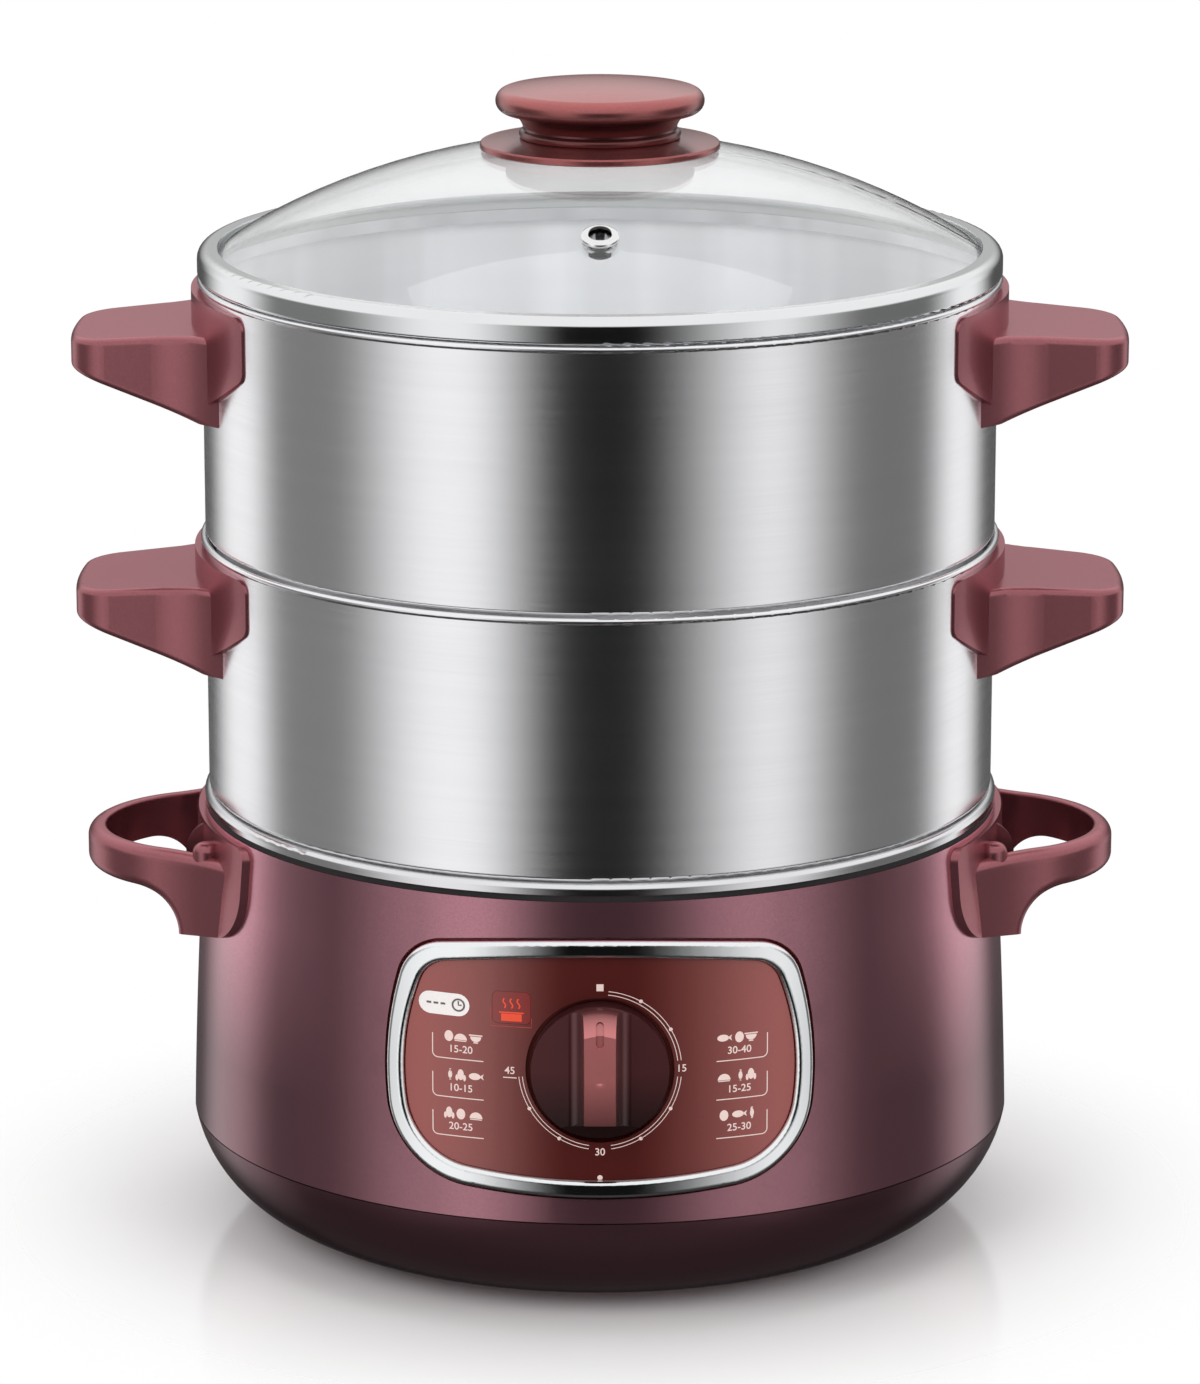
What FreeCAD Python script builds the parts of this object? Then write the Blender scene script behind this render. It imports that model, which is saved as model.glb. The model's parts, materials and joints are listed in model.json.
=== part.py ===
import FreeCAD, Part
import math
import os

# Electric food steamer: a powered base with a water tank, two stacked steel
# steaming tiers and a glass lid.  Millimetres, +Z up, front towards -Y.
# The origin is on the vertical axis, on the surface that the feet stand on.

# ---------------------------------------------------------------- driving sizes
# Stack.  The tiers' radius drives every other large radius.
TIER_RADIUS = 140.0
TANK_RIM_TOP = 157.9
TIER_HEIGHT = 91.8
STACK_GAP = 0.3
SHEET = 0.8
PART_GAP = 0.1

# Base housing above the seam and base pan below it: one outer form
HOUSING_WALL = 2.8
HOUSING_BOTTOM = 3.2
SHOULDER_OVERHANG = 1.4
FLANK_SWELL = 3.2
FLANK_DROP = 52.7
WIDEST_SWELL = 5.5
WIDEST_HEIGHT = 39.0
BELLY_INSET = 11.1
BELLY_HEIGHT = 16.4
FOOT_RING_INSET = 31.7
SEAM_GAP = 0.4
SEAM_LIP_WALL = 1.6
SEAM_LIP_HEIGHT = 6.0
SEAM_LIP_CLEARANCE = 0.4
SEAM_BEAD = 0.7
SEAM_BEAD_HEIGHT = 3.2

# Underside
COVER_INSET = 25.2
COVER_THICKNESS = 2.5
COVER_PAD_WIDTH = 16.0
COVER_PAD_HEIGHT = 6.0
COVER_SCREW_INSET = 7.2
VENT_SLOTS = 10
VENT_SLOT_WIDTH = 4.0
VENT_SLOT_INNER = 46.0
VENT_SLOT_OUTER = 70.0
FOOT_RADIUS = 7.0
FOOT_INSET = 14.2
FOOT_STEM_RADIUS = 2.5

# Water tank
TANK_LEDGE_DEPTH = 11.0
TANK_LEDGE_WIDTH = 6.9
TANK_RIM_OVERHANG = 0.2
TANK_RIM_HEIGHT = 4.4
TANK_DEPTH = 36.0
TANK_CORNER = 12.0
SEAL_THICKNESS = 1.8
SEAL_INSET = 0.7

# Heater under the tank
PLATE_RADIUS = 65.0
PLATE_THICKNESS = 8.0
TUBE_RING_RADIUS = 50.0
TUBE_RADIUS = 3.5
TUBE_OPENING = 44.0
TUBE_ELBOW = 7.0
TUBE_LEG = 13.0
HEATER_TURN = -45.0
TERMINAL_PIN_RADIUS = 1.5
TERMINAL_PIN_LENGTH = 9.0
STUD_RADIUS = 2.0
STUD_SHOULDER_RADIUS = 4.0
STUD_SPREAD = 60.0
YOKE_DROP = 11.0
YOKE_WIDTH = 24.0
YOKE_THICKNESS = 2.0
YOKE_SCREW_INSET = 14.0
YOKE_END = 6.0
YOKE_BOSS_DEPTH = 8.0
YOKE_BOSS_WIDTH = 16.0
YOKE_BOSS_HEIGHT = 22.0
NUT_FLATS = 7.0
NUT_HEIGHT = 3.2
THERMOSTAT_RADIUS = 8.0
THERMOSTAT_HEIGHT = 9.0
THERMOSTAT_OFFSET = 30.0
THERMOSTAT_TAB_SPREAD = 8.0
TAB_HALF = 0.4
TAB_LENGTH = 8.0
FUSE_RADIUS = 2.0
FUSE_LENGTH = 12.0

# Tiers
TIER_BEAD = 1.2
TIER_SHOULDER = 2.0
SPIGOT_INSET = 3.6
SPIGOT_CLEARANCE = 0.7
SPIGOT_DEPTH = 8.0
SPIGOT_CORNER = 3.0
STEAM_HOLE_RADIUS = 4.5
STEAM_HOLE_MARGIN = 20.4
STEAM_HOLE_RINGS = 4

# Lid
GLASS = 3.6
GLASS_INSET = 4.7
GLASS_SAG = 39.9
GLASS_CROWN_RISE = 46.2
LID_RIM_OVERHANG = 1.5
LID_RIM_HEIGHT = 9.4
LID_RIM_ROUND = 3.6
LID_RIM_FOOT_ROUND = 1.4
LID_LIP_WIDTH = 7.1
LID_STEP_INSET = 3.8
LID_STEP_DEPTH = 4.0
VENT_INSET = 42.1
VENT_FLANGE_RADIUS = 6.7
VENT_FLANGE_THICKNESS = 1.7
VENT_BORE_RADIUS = 3.7
VENT_TUBE_WALL = 0.6
VENT_TUBE_DROP = 4.0
VENT_SEAT = 0.12
KNOB_HOLE_RADIUS = 4.0
GUARD_RADIUS = 42.1
GUARD_EDGE = 2.6
GUARD_CLEARANCE = 0.4
KNOB_NECK_RADIUS = 27.5
KNOB_RADIUS = 36.6
KNOB_SEAT_RISE = 0.9
KNOB_BAND_RISE = 14.0
KNOB_BAND_ROUND = 4.2
KNOB_TOP_RISE = 20.9
KNOB_WALL = 3.2
KNOB_BOSS_RADIUS = 8.0
INSERT_RADIUS = 4.0
INSERT_LENGTH = 12.0
KNOB_SCREW_RADIUS = 2.4
KNOB_SCREW_HEAD_RADIUS = 5.0
KNOB_SCREW_HEAD = 3.0
KNOB_WASHER_RADIUS = 8.5
KNOB_WASHER = 1.2
KNOB_SEAL_RADIUS = 9.5
KNOB_SEAL = 1.6

# Tier handles
WING_OVERHANG = 46.0
WING_ROOT_HALF_WIDTH = 35.5
WING_TIP_HALF_WIDTH = 30.0
WING_TIP_BULGE = 2.5
WING_TIP_DEPTH = 14.0
WING_ROOT_DEPTH = 30.6
WING_FALL = 3.4
WING_CORNER = 15.0
WING_EDGE = 2.6
WING_FLARE = 47.0
WING_FLARE_LENGTH = 16.0
UPPER_HANDLE_DROP = 16.3
LOWER_HANDLE_DROP = 13.8
SHIELD_HALF_WIDTH = 69.6
SHIELD_TOP_DROP = 4.4
SHIELD_SHOULDER_DROP = 9.4
SHIELD_THICKNESS = 3.8
SHIELD_OFFSET = 20.0
SHIELD_CORNER = 5.0

# Base handles
LOOP_DROP = 10.0
LOOP_OVERHANG = 42.6
LOOP_ROUND = 45.5
LOOP_TURN = 65.0
LOOP_THICKNESS = 6.6
LOOP_FLARE = 72.0
LOOP_POCKET_FLARE = 55.0
LOOP_BAND = 14.5
LOOP_FOOT_THICKNESS = 7.0
LOOP_FOOT_ROUND = 15.0
LOOP_FOOT_TOE = 3.3
LOOP_OUTER_ROUND = 4.2
LOOP_INNER_ROUND = 1.2
LOOP_RIB_SPREAD = 60.0
LOOP_RIB_WIDTH = 2.4
LOOP_RIB_REACH = 8.0
LOOP_RIB_HEIGHT = 21.0
LOOP_POST_RADIUS = 5.0
LOOP_POST_DEPTH = 26.0
BASE_SHIELD_HALF_WIDTH = 72.5
BASE_SHIELD_RISE = 8.8
BASE_SHIELD_SIDE = 24.0
BASE_SHIELD_DEPTH = 32.8
BASE_SHIELD_THICKNESS = 2.4
BASE_SHIELD_CORNER = 20.0
BASE_SHIELD_TOP_CORNER = 5.0

# Screws that hold the handles, panel, timer, yoke and cover
SCREW_RADIUS = 1.6
SCREW_LENGTH = 14.0
SCREW_HEAD_RADIUS = 3.6
SCREW_HEAD = 2.2
SCREW_CLEARANCE = 0.4
THREAD_GAP = 0.05
WASHER_RADIUS = 4.8
WASHER = 0.8
TIER_SCREW_SPREAD = 34.0
TIER_SCREW_DROP = 18.4
BASE_SCREW_SPREAD = 92.0
BASE_SCREW_DROP = 15.0
BASE_SCREW_LENGTH = 8.0

# Control panel
PANEL_DROP = 12.8
PANEL_RISE = 9.8
PANEL_HALF_WIDTH = 72.8
PANEL_WIDEST_DROP = 2.85
PANEL_TOP_CORNER_X = 64.5
PANEL_TOP_CORNER_DROP = 4.7
PANEL_BOTTOM_CORNER_X = 67.5
PANEL_BOTTOM_CORNER_RISE = 5.6
PANEL_TOP_ROUND = 17.0
PANEL_BOTTOM_ROUND = 30.0
BEZEL_WIDTH = 6.2
BEZEL_PROUD = 2.4
BEZEL_ROUND = 1.9
BEZEL_GROOVE = 0.8
PANEL_PROUD = 0.2
PANEL_FLANGE = 5.0
PANEL_FLANGE_THICKNESS = 2.2
LENS_WIDTH = 13.0
LENS_HEIGHT = 11.0
LENS_CORNER = 2.0
LENS_X = -30.0
LENS_RISE = 21.0
LENS_THICKNESS = 2.0
LAMP_RADIUS = 2.8
LAMP_LENGTH = 14.0

# Timer and its knob
DIAL_DROP = 0.35
DIAL_RADIUS = 23.7
DIAL_WELL_RADIUS = 25.3
DIAL_WELL_DEPTH = 4.2
DIAL_WELL_WALL = 2.6
DIAL_BACK_GAP = 0.6
DIAL_SKIRT = 7.0
DIAL_THICKNESS = 18.0
GRIP_TOP_HALF_WIDTH = 5.2
GRIP_ROOT_HALF_WIDTH = 9.6
GRIP_FOOT = 17.0
POINTER_WIDTH = 2.8
POINTER_INNER = 12.0
POINTER_OUTER = 20.4
POINTER_DEPTH = 0.9
SHAFT_RADIUS = 3.0
SHAFT_CLEARANCE = 0.05
TIMER_WIDTH = 42.0
TIMER_DEPTH = 18.0
TIMER_PLATE = 1.5
TIMER_EAR = 9.0
TIMER_EAR_HEIGHT = 16.0
TIMER_STANDOFF = 3.4
TIMER_TAB_DROP = 15.0
TIMER_TAB_SPREAD = 24.0

# Mains inlet at the back
GLAND_HEIGHT = 62.0
GLAND_BORE_RADIUS = 3.5
GLAND_NECK_RADIUS = 7.0
GLAND_FLANGE_RADIUS = 10.0
GLAND_FLANGE = 2.4
GLAND_NOSE_RADIUS = 6.0
GLAND_NOSE = 5.1
TERMINAL_BLOCK = (38.0, 18.0, 15.0)
TERMINAL_BLOCK_Y = 56.0
TERMINAL_POLES = 3
TERMINAL_POLE_RADIUS = 3.2
TERMINAL_POLE_DEPTH = 9.0

ORIGIN = FreeCAD.Vector(0, 0, 0)
UP = FreeCAD.Vector(0, 0, 1)
RIGHT = FreeCAD.Vector(1, 0, 0)
BACK = FreeCAD.Vector(0, 1, 0)
FRONT = FreeCAD.Vector(0, -1, 0)
FAR = 400.0

# ---------------------------------------------------------------- derived radii
SHOULDER_RADIUS = TIER_RADIUS + SHOULDER_OVERHANG
FLANK_RADIUS = SHOULDER_RADIUS + FLANK_SWELL
WIDEST_RADIUS = SHOULDER_RADIUS + WIDEST_SWELL
BELLY_RADIUS = WIDEST_RADIUS - BELLY_INSET
FOOT_RING_RADIUS = WIDEST_RADIUS - FOOT_RING_INSET
SEAM_LIP_RADIUS = WIDEST_RADIUS - HOUSING_WALL - SEAM_LIP_CLEARANCE
COVER_RADIUS = FOOT_RING_RADIUS - COVER_INSET
COVER_SCREW_RADIUS = COVER_RADIUS - COVER_SCREW_INSET
FOOT_CIRCLE_RADIUS = FOOT_RING_RADIUS - FOOT_INSET
SPIGOT_RADIUS = TIER_RADIUS - SPIGOT_INSET
STEAM_HOLE_SPACING = (SPIGOT_RADIUS - STEAM_HOLE_MARGIN) / STEAM_HOLE_RINGS
TANK_RADIUS = SPIGOT_RADIUS + SPIGOT_CLEARANCE + SHEET
TANK_BODY_RADIUS = TANK_RADIUS - TANK_LEDGE_WIDTH
TANK_RIM_RADIUS = SHOULDER_RADIUS + TANK_RIM_OVERHANG
YOKE_SCREW_X = TIER_RADIUS - YOKE_SCREW_INSET
YOKE_HALF_LENGTH = YOKE_SCREW_X + YOKE_END
YOKE_BOSS_INNER = YOKE_SCREW_X - YOKE_BOSS_DEPTH
LID_RIM_RADIUS = TIER_RADIUS + LID_RIM_OVERHANG
LID_LIP_RADIUS = LID_RIM_RADIUS - LID_LIP_WIDTH
LID_STEP_RADIUS = TIER_RADIUS - LID_STEP_INSET
GLASS_RADIUS = LID_RIM_RADIUS - GLASS_INSET
GLASS_CROWN_RADIUS = (GLASS_RADIUS ** 2 + GLASS_SAG ** 2) / (2 * GLASS_SAG)
VENT_DISTANCE = GLASS_RADIUS - VENT_INSET
WING_REACH = TIER_RADIUS + WING_OVERHANG
LOOP_REACH = SHOULDER_RADIUS + LOOP_OVERHANG

# ---------------------------------------------------------------- derived heights
HOUSING_TOP = TANK_RIM_TOP - TANK_RIM_HEIGHT - SEAL_THICKNESS
FLANK_HEIGHT = HOUSING_TOP - FLANK_DROP
TANK_FLOOR = TANK_RIM_TOP - TANK_DEPTH
PLATE_TOP = TANK_FLOOR - SHEET
PLATE_BOTTOM = PLATE_TOP - PLATE_THICKNESS
YOKE_TOP = PLATE_BOTTOM - YOKE_DROP
YOKE_BOTTOM = YOKE_TOP - YOKE_THICKNESS
LOWER_TIER_BOTTOM = TANK_RIM_TOP + STACK_GAP
UPPER_TIER_BOTTOM = LOWER_TIER_BOTTOM + TIER_HEIGHT + STACK_GAP
LID_BOTTOM = UPPER_TIER_BOTTOM + TIER_HEIGHT + STACK_GAP
CROWN_TOP = LID_BOTTOM + GLASS_CROWN_RISE
CROWN_CENTRE = CROWN_TOP - GLASS_CROWN_RADIUS
LOOP_TOP = HOUSING_TOP - LOOP_DROP
COVER_TOP = HOUSING_BOTTOM + COVER_THICKNESS
PANEL_TOP = HOUSING_TOP - PANEL_DROP
PANEL_BOTTOM = WIDEST_HEIGHT + PANEL_RISE
PANEL_MIDDLE = (PANEL_TOP + PANEL_BOTTOM) / 2
PANEL_WIDEST_HEIGHT = PANEL_MIDDLE - PANEL_WIDEST_DROP
DIAL_HEIGHT = PANEL_MIDDLE - DIAL_DROP
TIMER_TAB_HEIGHT = DIAL_HEIGHT - TIMER_TAB_DROP


# ---------------------------------------------------------------- shape helpers
def on_plane(plane, first, second):
    """A point given in the XZ, XY or YZ plane."""
    if plane == "XZ":
        return FreeCAD.Vector(first, 0, second)
    if plane == "XY":
        return FreeCAD.Vector(first, second, 0)
    return FreeCAD.Vector(0, first, second)


def outline(plane, start, *steps):
    """A closed flat face.  A step is a point, or a pair (via, end) for an arc."""
    edges = []
    here = on_plane(plane, *start)
    for step in steps + (start,):
        if isinstance(step[0], tuple):
            end = on_plane(plane, *step[1])
            edges.append(Part.Arc(here, on_plane(plane, *step[0]), end).toShape())
        else:
            end = on_plane(plane, *step)
            if here.distanceToPoint(end) > 1e-6:
                edges.append(Part.LineSegment(here, end).toShape())
        here = end
    return Part.Face(Part.Wire(edges))


def turned(start, *steps):
    """A solid of revolution about the vertical axis, from a radius-height outline."""
    return outline("XZ", start, *steps).revolve(ORIGIN, UP, 360)


def bend(centre, radius, first_angle, last_angle):
    """The start of a round corner and its arc, as two outline steps."""
    def at(angle):
        turn = math.radians(angle)
        return (centre[0] + radius * math.cos(turn), centre[1] + radius * math.sin(turn))
    return at(first_angle), (at((first_angle + last_angle) / 2), at(last_angle))


def dome(radius, height, top):
    """An arc from a rim up to the axis, centred on the axis, as one outline step."""
    rise = top - height
    sphere = (radius ** 2 + rise ** 2) / (2 * rise)
    half = radius / 2
    return (half, top - sphere + math.sqrt(sphere ** 2 - half ** 2)), (0, top)


def sweep(start, heading, end):
    """The arc that leaves start at a heading and runs through end, as one outline step."""
    bearing = math.atan2(end[1] - start[1], end[0] - start[0])
    lean = (math.radians(heading) + bearing) / 2
    reach = math.dist(start, end) / 2 / math.cos(bearing - lean)
    return (start[0] + reach * math.cos(lean), start[1] + reach * math.sin(lean)), end


def opposite(point):
    """The same point across the axis of the first coordinate."""
    return point[0], -point[1]


def disc(radius, bottom, top, x=0.0, y=0.0):
    return Part.makeCylinder(radius, top - bottom, FreeCAD.Vector(x, y, bottom))


def block(x_range, y_range, z_range):
    corner = FreeCAD.Vector(x_range[0], y_range[0], z_range[0])
    return Part.makeBox(
        x_range[1] - x_range[0], y_range[1] - y_range[0], z_range[1] - z_range[0], corner
    )


def spun(shape, angle):
    """A copy turned about the vertical axis."""
    copy = shape.copy()
    copy.rotate(ORIGIN, UP, angle)
    return copy


def moved(shape, x=0.0, y=0.0, z=0.0):
    copy = shape.copy()
    copy.translate(FreeCAD.Vector(x, y, z))
    return copy


def edges_along(shape, direction):
    """The straight edges that run in one direction."""
    found = []
    for edge in shape.Edges:
        if isinstance(edge.Curve, Part.Line):
            if edge.tangentAt(edge.FirstParameter).cross(direction).Length < 1e-6:
                found.append(edge)
    return found


def edge_middle(edge):
    return edge.valueAt((edge.FirstParameter + edge.LastParameter) / 2)


def joined(first, *others):
    return first.fuse(list(others)).removeSplitter()


def save(name, *solids):
    shape = solids[0] if len(solids) == 1 else Part.makeCompound(list(solids))
    shape.exportStep(os.path.join("parts", name + ".step"))


def screw(length):
    """A pan-head screw along +X, its head's seat at the origin."""
    head = Part.makeCylinder(SCREW_HEAD_RADIUS, SCREW_HEAD, FreeCAD.Vector(-SCREW_HEAD, 0, 0), RIGHT)
    crown_edges = [edge for edge in head.Edges if edge_middle(edge).x < -SCREW_HEAD * 0.9]
    head = head.makeChamfer(SCREW_HEAD * 0.4, crown_edges)
    shank = Part.makeCylinder(SCREW_RADIUS, length, ORIGIN, RIGHT)
    return joined(head, shank)


def pilot(length, radius=SCREW_RADIUS + THREAD_GAP):
    """The hole that a screw's thread fills, along +X from its head's seat."""
    return Part.makeCylinder(radius, length, ORIGIN, RIGHT)


# ---------------------------------------------------------------- base housing
def housing_form(offset):
    """The turned outer form of the base, grown by an offset, as a full solid."""
    low_lean = math.radians(16)
    belly_lean = math.radians(50)
    foot = (FOOT_RING_RADIUS + offset * math.sin(low_lean), HOUSING_BOTTOM - offset * math.cos(low_lean))
    belly = (BELLY_RADIUS + offset * math.sin(belly_lean), BELLY_HEIGHT - offset * math.cos(belly_lean))
    widest = (WIDEST_RADIUS + offset, WIDEST_HEIGHT)
    flank = (FLANK_RADIUS + offset, FLANK_HEIGHT)
    shoulder = (SHOULDER_RADIUS + offset, HOUSING_TOP)
    return turned((0, foot[1]), foot, (belly, widest), (flank, shoulder), (0, HOUSING_TOP))


def housing_skin(inner_offset, outer_offset):
    """A skin that follows the base's outer surface between two offsets."""
    return housing_form(outer_offset).cut(housing_form(inner_offset))


def yoke_boss():
    """A boss on the housing's inner wall that takes one end of the tank yoke."""
    half = YOKE_BOSS_WIDTH / 2
    bottom = YOKE_BOTTOM - YOKE_BOSS_HEIGHT
    boss = block((YOKE_BOSS_INNER, WIDEST_RADIUS), (-half, half), (bottom, YOKE_BOTTOM))
    boss = boss.common(housing_form(-HOUSING_WALL / 2))
    hole = disc(SCREW_RADIUS + THREAD_GAP, YOKE_BOTTOM - SCREW_LENGTH, YOKE_BOTTOM, YOKE_SCREW_X)
    return boss.cut(hole)


def cover_pad():
    """The ring inside the bottom edge that the cover screws up into."""
    outer = COVER_RADIUS + COVER_PAD_WIDTH
    inner = COVER_RADIUS - COVER_PAD_WIDTH * 0.8
    top = COVER_TOP + COVER_PAD_HEIGHT
    ring = disc(outer, HOUSING_BOTTOM, top).cut(disc(inner, HOUSING_BOTTOM, top))
    return ring.common(housing_form(-HOUSING_WALL / 2))


def flank_radius(height):
    """The base's outer radius at a height above its widest ring."""
    flank = Part.Arc(
        on_plane("XZ", WIDEST_RADIUS, WIDEST_HEIGHT),
        on_plane("XZ", FLANK_RADIUS, FLANK_HEIGHT),
        on_plane("XZ", SHOULDER_RADIUS, HOUSING_TOP),
    ).toShape().Curve
    rise = height - flank.Center.z
    return flank.Center.x + math.sqrt(flank.Radius ** 2 - rise ** 2)


def seam_bead(reach):
    """A half-round bead on the pan's lip, or the groove for it, that holds the seam shut."""
    inner = SEAM_LIP_RADIUS - SEAM_LIP_WALL / 2
    middle = WIDEST_HEIGHT + SEAM_BEAD_HEIGHT
    return turned(
        (inner, middle - reach), (SEAM_LIP_RADIUS, middle - reach),
        ((SEAM_LIP_RADIUS + reach, middle), (SEAM_LIP_RADIUS, middle + reach)), (inner, middle + reach),
    )


def base_housing():
    """The upper moulding: the wall above the seam, with two bosses for the tank's yoke."""
    shell = housing_skin(-HOUSING_WALL, 0).cut(disc(FAR, 0, WIDEST_HEIGHT + SEAM_GAP))
    shell = joined(shell, yoke_boss(), spun(yoke_boss(), 180))
    cuts = [
        seam_bead(SEAM_BEAD + THREAD_GAP),
        panel_prism(-BEZEL_GROOVE),
        gland_hole(GLAND_NECK_RADIUS + THREAD_GAP),
    ]
    for hole in base_screw_places(pilot(FAR, SCREW_RADIUS + SCREW_CLEARANCE)):
        cuts.append(hole.cut(disc(YOKE_BOSS_INNER, 0, FAR)))
    return shell.cut(cuts)


def base_pan():
    """The lower moulding: the belly below the seam, with a lip that snaps into the housing and
    a ring that the cover screws up into."""
    shell = housing_skin(-HOUSING_WALL, 0).cut(disc(COVER_RADIUS, 0, HOUSING_BOTTOM + HOUSING_WALL))
    shell = shell.cut(disc(FAR, WIDEST_HEIGHT, FAR))
    lip_top = WIDEST_HEIGHT + SEAM_LIP_HEIGHT
    lip = disc(SEAM_LIP_RADIUS, WIDEST_HEIGHT - SEAM_LIP_HEIGHT, lip_top)
    lip = lip.cut(disc(SEAM_LIP_RADIUS - SEAM_LIP_WALL, 0, FAR))
    lip = joined(lip, seam_bead(SEAM_BEAD)).cut(panel_prism(-PANEL_FLANGE - PART_GAP))
    shell = joined(shell, cover_pad(), lip)
    cuts = [disc(COVER_RADIUS + PART_GAP, 0, COVER_TOP)]
    pad_top = COVER_TOP + COVER_PAD_HEIGHT + 1
    for angle in (45, 135, 225, 315):
        cuts.append(spun(disc(FOOT_STEM_RADIUS + THREAD_GAP, 0, pad_top, FOOT_CIRCLE_RADIUS), angle))
        cuts.append(spun(disc(SCREW_RADIUS + THREAD_GAP, 0, pad_top, COVER_SCREW_RADIUS), angle + 45))
    return shell.cut(cuts)


def foot():
    stem = disc(FOOT_STEM_RADIUS, HOUSING_BOTTOM, HOUSING_BOTTOM + COVER_PAD_HEIGHT, FOOT_CIRCLE_RADIUS)
    pad = turned(
        (0, 0), (FOOT_RADIUS - 1, 0), ((FOOT_RADIUS - 0.3, 0.3), (FOOT_RADIUS, 1)),
        (FOOT_RADIUS, HOUSING_BOTTOM), (0, HOUSING_BOTTOM),
    )
    return joined(moved(pad, FOOT_CIRCLE_RADIUS), stem)


def bottom_cover():
    cover = disc(COVER_RADIUS, HOUSING_BOTTOM, COVER_TOP)
    slot = block(
        (VENT_SLOT_INNER, VENT_SLOT_OUTER), (-VENT_SLOT_WIDTH / 2, VENT_SLOT_WIDTH / 2), (0, COVER_TOP)
    )
    slot = slot.makeFillet(VENT_SLOT_WIDTH * 0.45, edges_along(slot, UP))
    cuts = [spun(slot, 360 * index / VENT_SLOTS) for index in range(VENT_SLOTS)]
    for angle in (0, 90, 180, 270):
        hole = disc(SCREW_RADIUS + SCREW_CLEARANCE, 0, COVER_TOP, COVER_SCREW_RADIUS)
        cuts.append(spun(hole, angle))
    return cover.cut(cuts)


def cover_screw():
    upright = screw(SCREW_LENGTH - COVER_PAD_HEIGHT)
    upright.rotate(ORIGIN, BACK, -90)
    return moved(upright, COVER_SCREW_RADIUS, 0, HOUSING_BOTTOM)


# ---------------------------------------------------------------- base handles
def screw_places(part, spread, radius, height):
    """Four copies of a part that lies along +X: two for each of the two handles."""
    lean = math.degrees(math.asin(spread / 2 / radius))
    placed = moved(part, radius, 0, height)
    return [spun(placed, side + turn) for side in (0, 180) for turn in (-lean, lean)]


def base_screw_places(part, seat=0.0):
    height = LOOP_TOP - BASE_SCREW_DROP
    inner_wall = flank_radius(height) - HOUSING_WALL - 2 * PART_GAP
    return screw_places(part, BASE_SCREW_SPREAD, inner_wall + seat, height)


def loop_plan(radius, flare):
    """The grip from above: a round end whose two sides sweep out to meet the wall."""
    centre = LOOP_REACH - LOOP_ROUND
    turn = math.radians(LOOP_TURN)
    leave = (centre + radius * math.cos(turn), radius * math.sin(turn))
    wall = (math.sqrt(flank_radius(LOOP_TOP) ** 2 - flare ** 2), flare)
    via, end = sweep(leave, LOOP_TURN + 90, wall)
    root = wall[0] - 2 * HOUSING_WALL
    return outline(
        "XY", (root, -flare), opposite(wall), (opposite(via), opposite(leave)),
        ((centre + radius, 0), leave), (via, end), (root, flare),
    )


def loop_side():
    """The grip from the side: a level band whose underside sweeps down to the foot."""
    foot = flank_radius(LOOP_TOP) + LOOP_FOOT_THICKNESS
    band = LOOP_TOP - LOOP_BAND
    bottom = LOOP_TOP - BASE_SHIELD_DEPTH
    start, arc = bend((foot + LOOP_FOOT_ROUND, band - LOOP_FOOT_ROUND), LOOP_FOOT_ROUND, 90, 180)
    toe_start, toe = bend((foot - LOOP_FOOT_TOE, bottom + LOOP_FOOT_TOE), LOOP_FOOT_TOE, 0, -90)
    return outline(
        "XZ", (YOKE_BOSS_INNER, LOOP_TOP), (LOOP_REACH + 1, LOOP_TOP), (LOOP_REACH + 1, band),
        start, arc, toe_start, toe, (YOKE_BOSS_INNER, bottom),
    )


def handle_loop():
    """The open grip, rounded over along both edges of its band."""
    slab = moved(loop_side().extrude(BACK * 2 * LOOP_FLARE), 0, -LOOP_FLARE)
    solid = loop_plan(LOOP_ROUND, LOOP_FLARE).extrude(UP * LOOP_TOP).common(slab)
    outer = [edge for edge in solid.Edges if is_grip_edge(edge)]
    solid = solid.makeFillet(LOOP_OUTER_ROUND, outer)
    pocket = loop_plan(LOOP_ROUND - LOOP_THICKNESS, LOOP_POCKET_FLARE).extrude(UP * FAR)
    solid = solid.cut(pocket)
    inner = [edge for edge in solid.Edges if is_pocket_edge(edge)]
    return solid.makeFillet(LOOP_INNER_ROUND, inner)


def is_grip_edge(edge):
    """True for the curved edges along the top and the underside of the grip's outer face."""
    middle = edge_middle(edge)
    return not isinstance(edge.Curve, Part.Line) and middle.x > LOOP_REACH - LOOP_ROUND


def is_pocket_edge(edge):
    """True for the round edge of the finger opening, on top of the grip."""
    middle = edge_middle(edge)
    tip = LOOP_REACH - LOOP_THICKNESS
    return middle.z > LOOP_TOP - 0.01 and abs(middle.x - tip) < 0.01


def loop_rib():
    """The thin upright rib inside the grip, bowed out from the shield."""
    half = LOOP_RIB_SPREAD / 2
    wall = math.sqrt(flank_radius(LOOP_TOP) ** 2 - half ** 2)
    top = LOOP_TOP + BASE_SHIELD_RISE - 1
    low = top - LOOP_RIB_HEIGHT
    face = outline("XZ", (wall, top), ((wall + LOOP_RIB_REACH, (top + low) / 2), (wall, low)))
    rib = face.extrude(BACK * LOOP_RIB_WIDTH)
    return [moved(rib, 0, side * half - LOOP_RIB_WIDTH / 2) for side in (-1, 1)]


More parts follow.
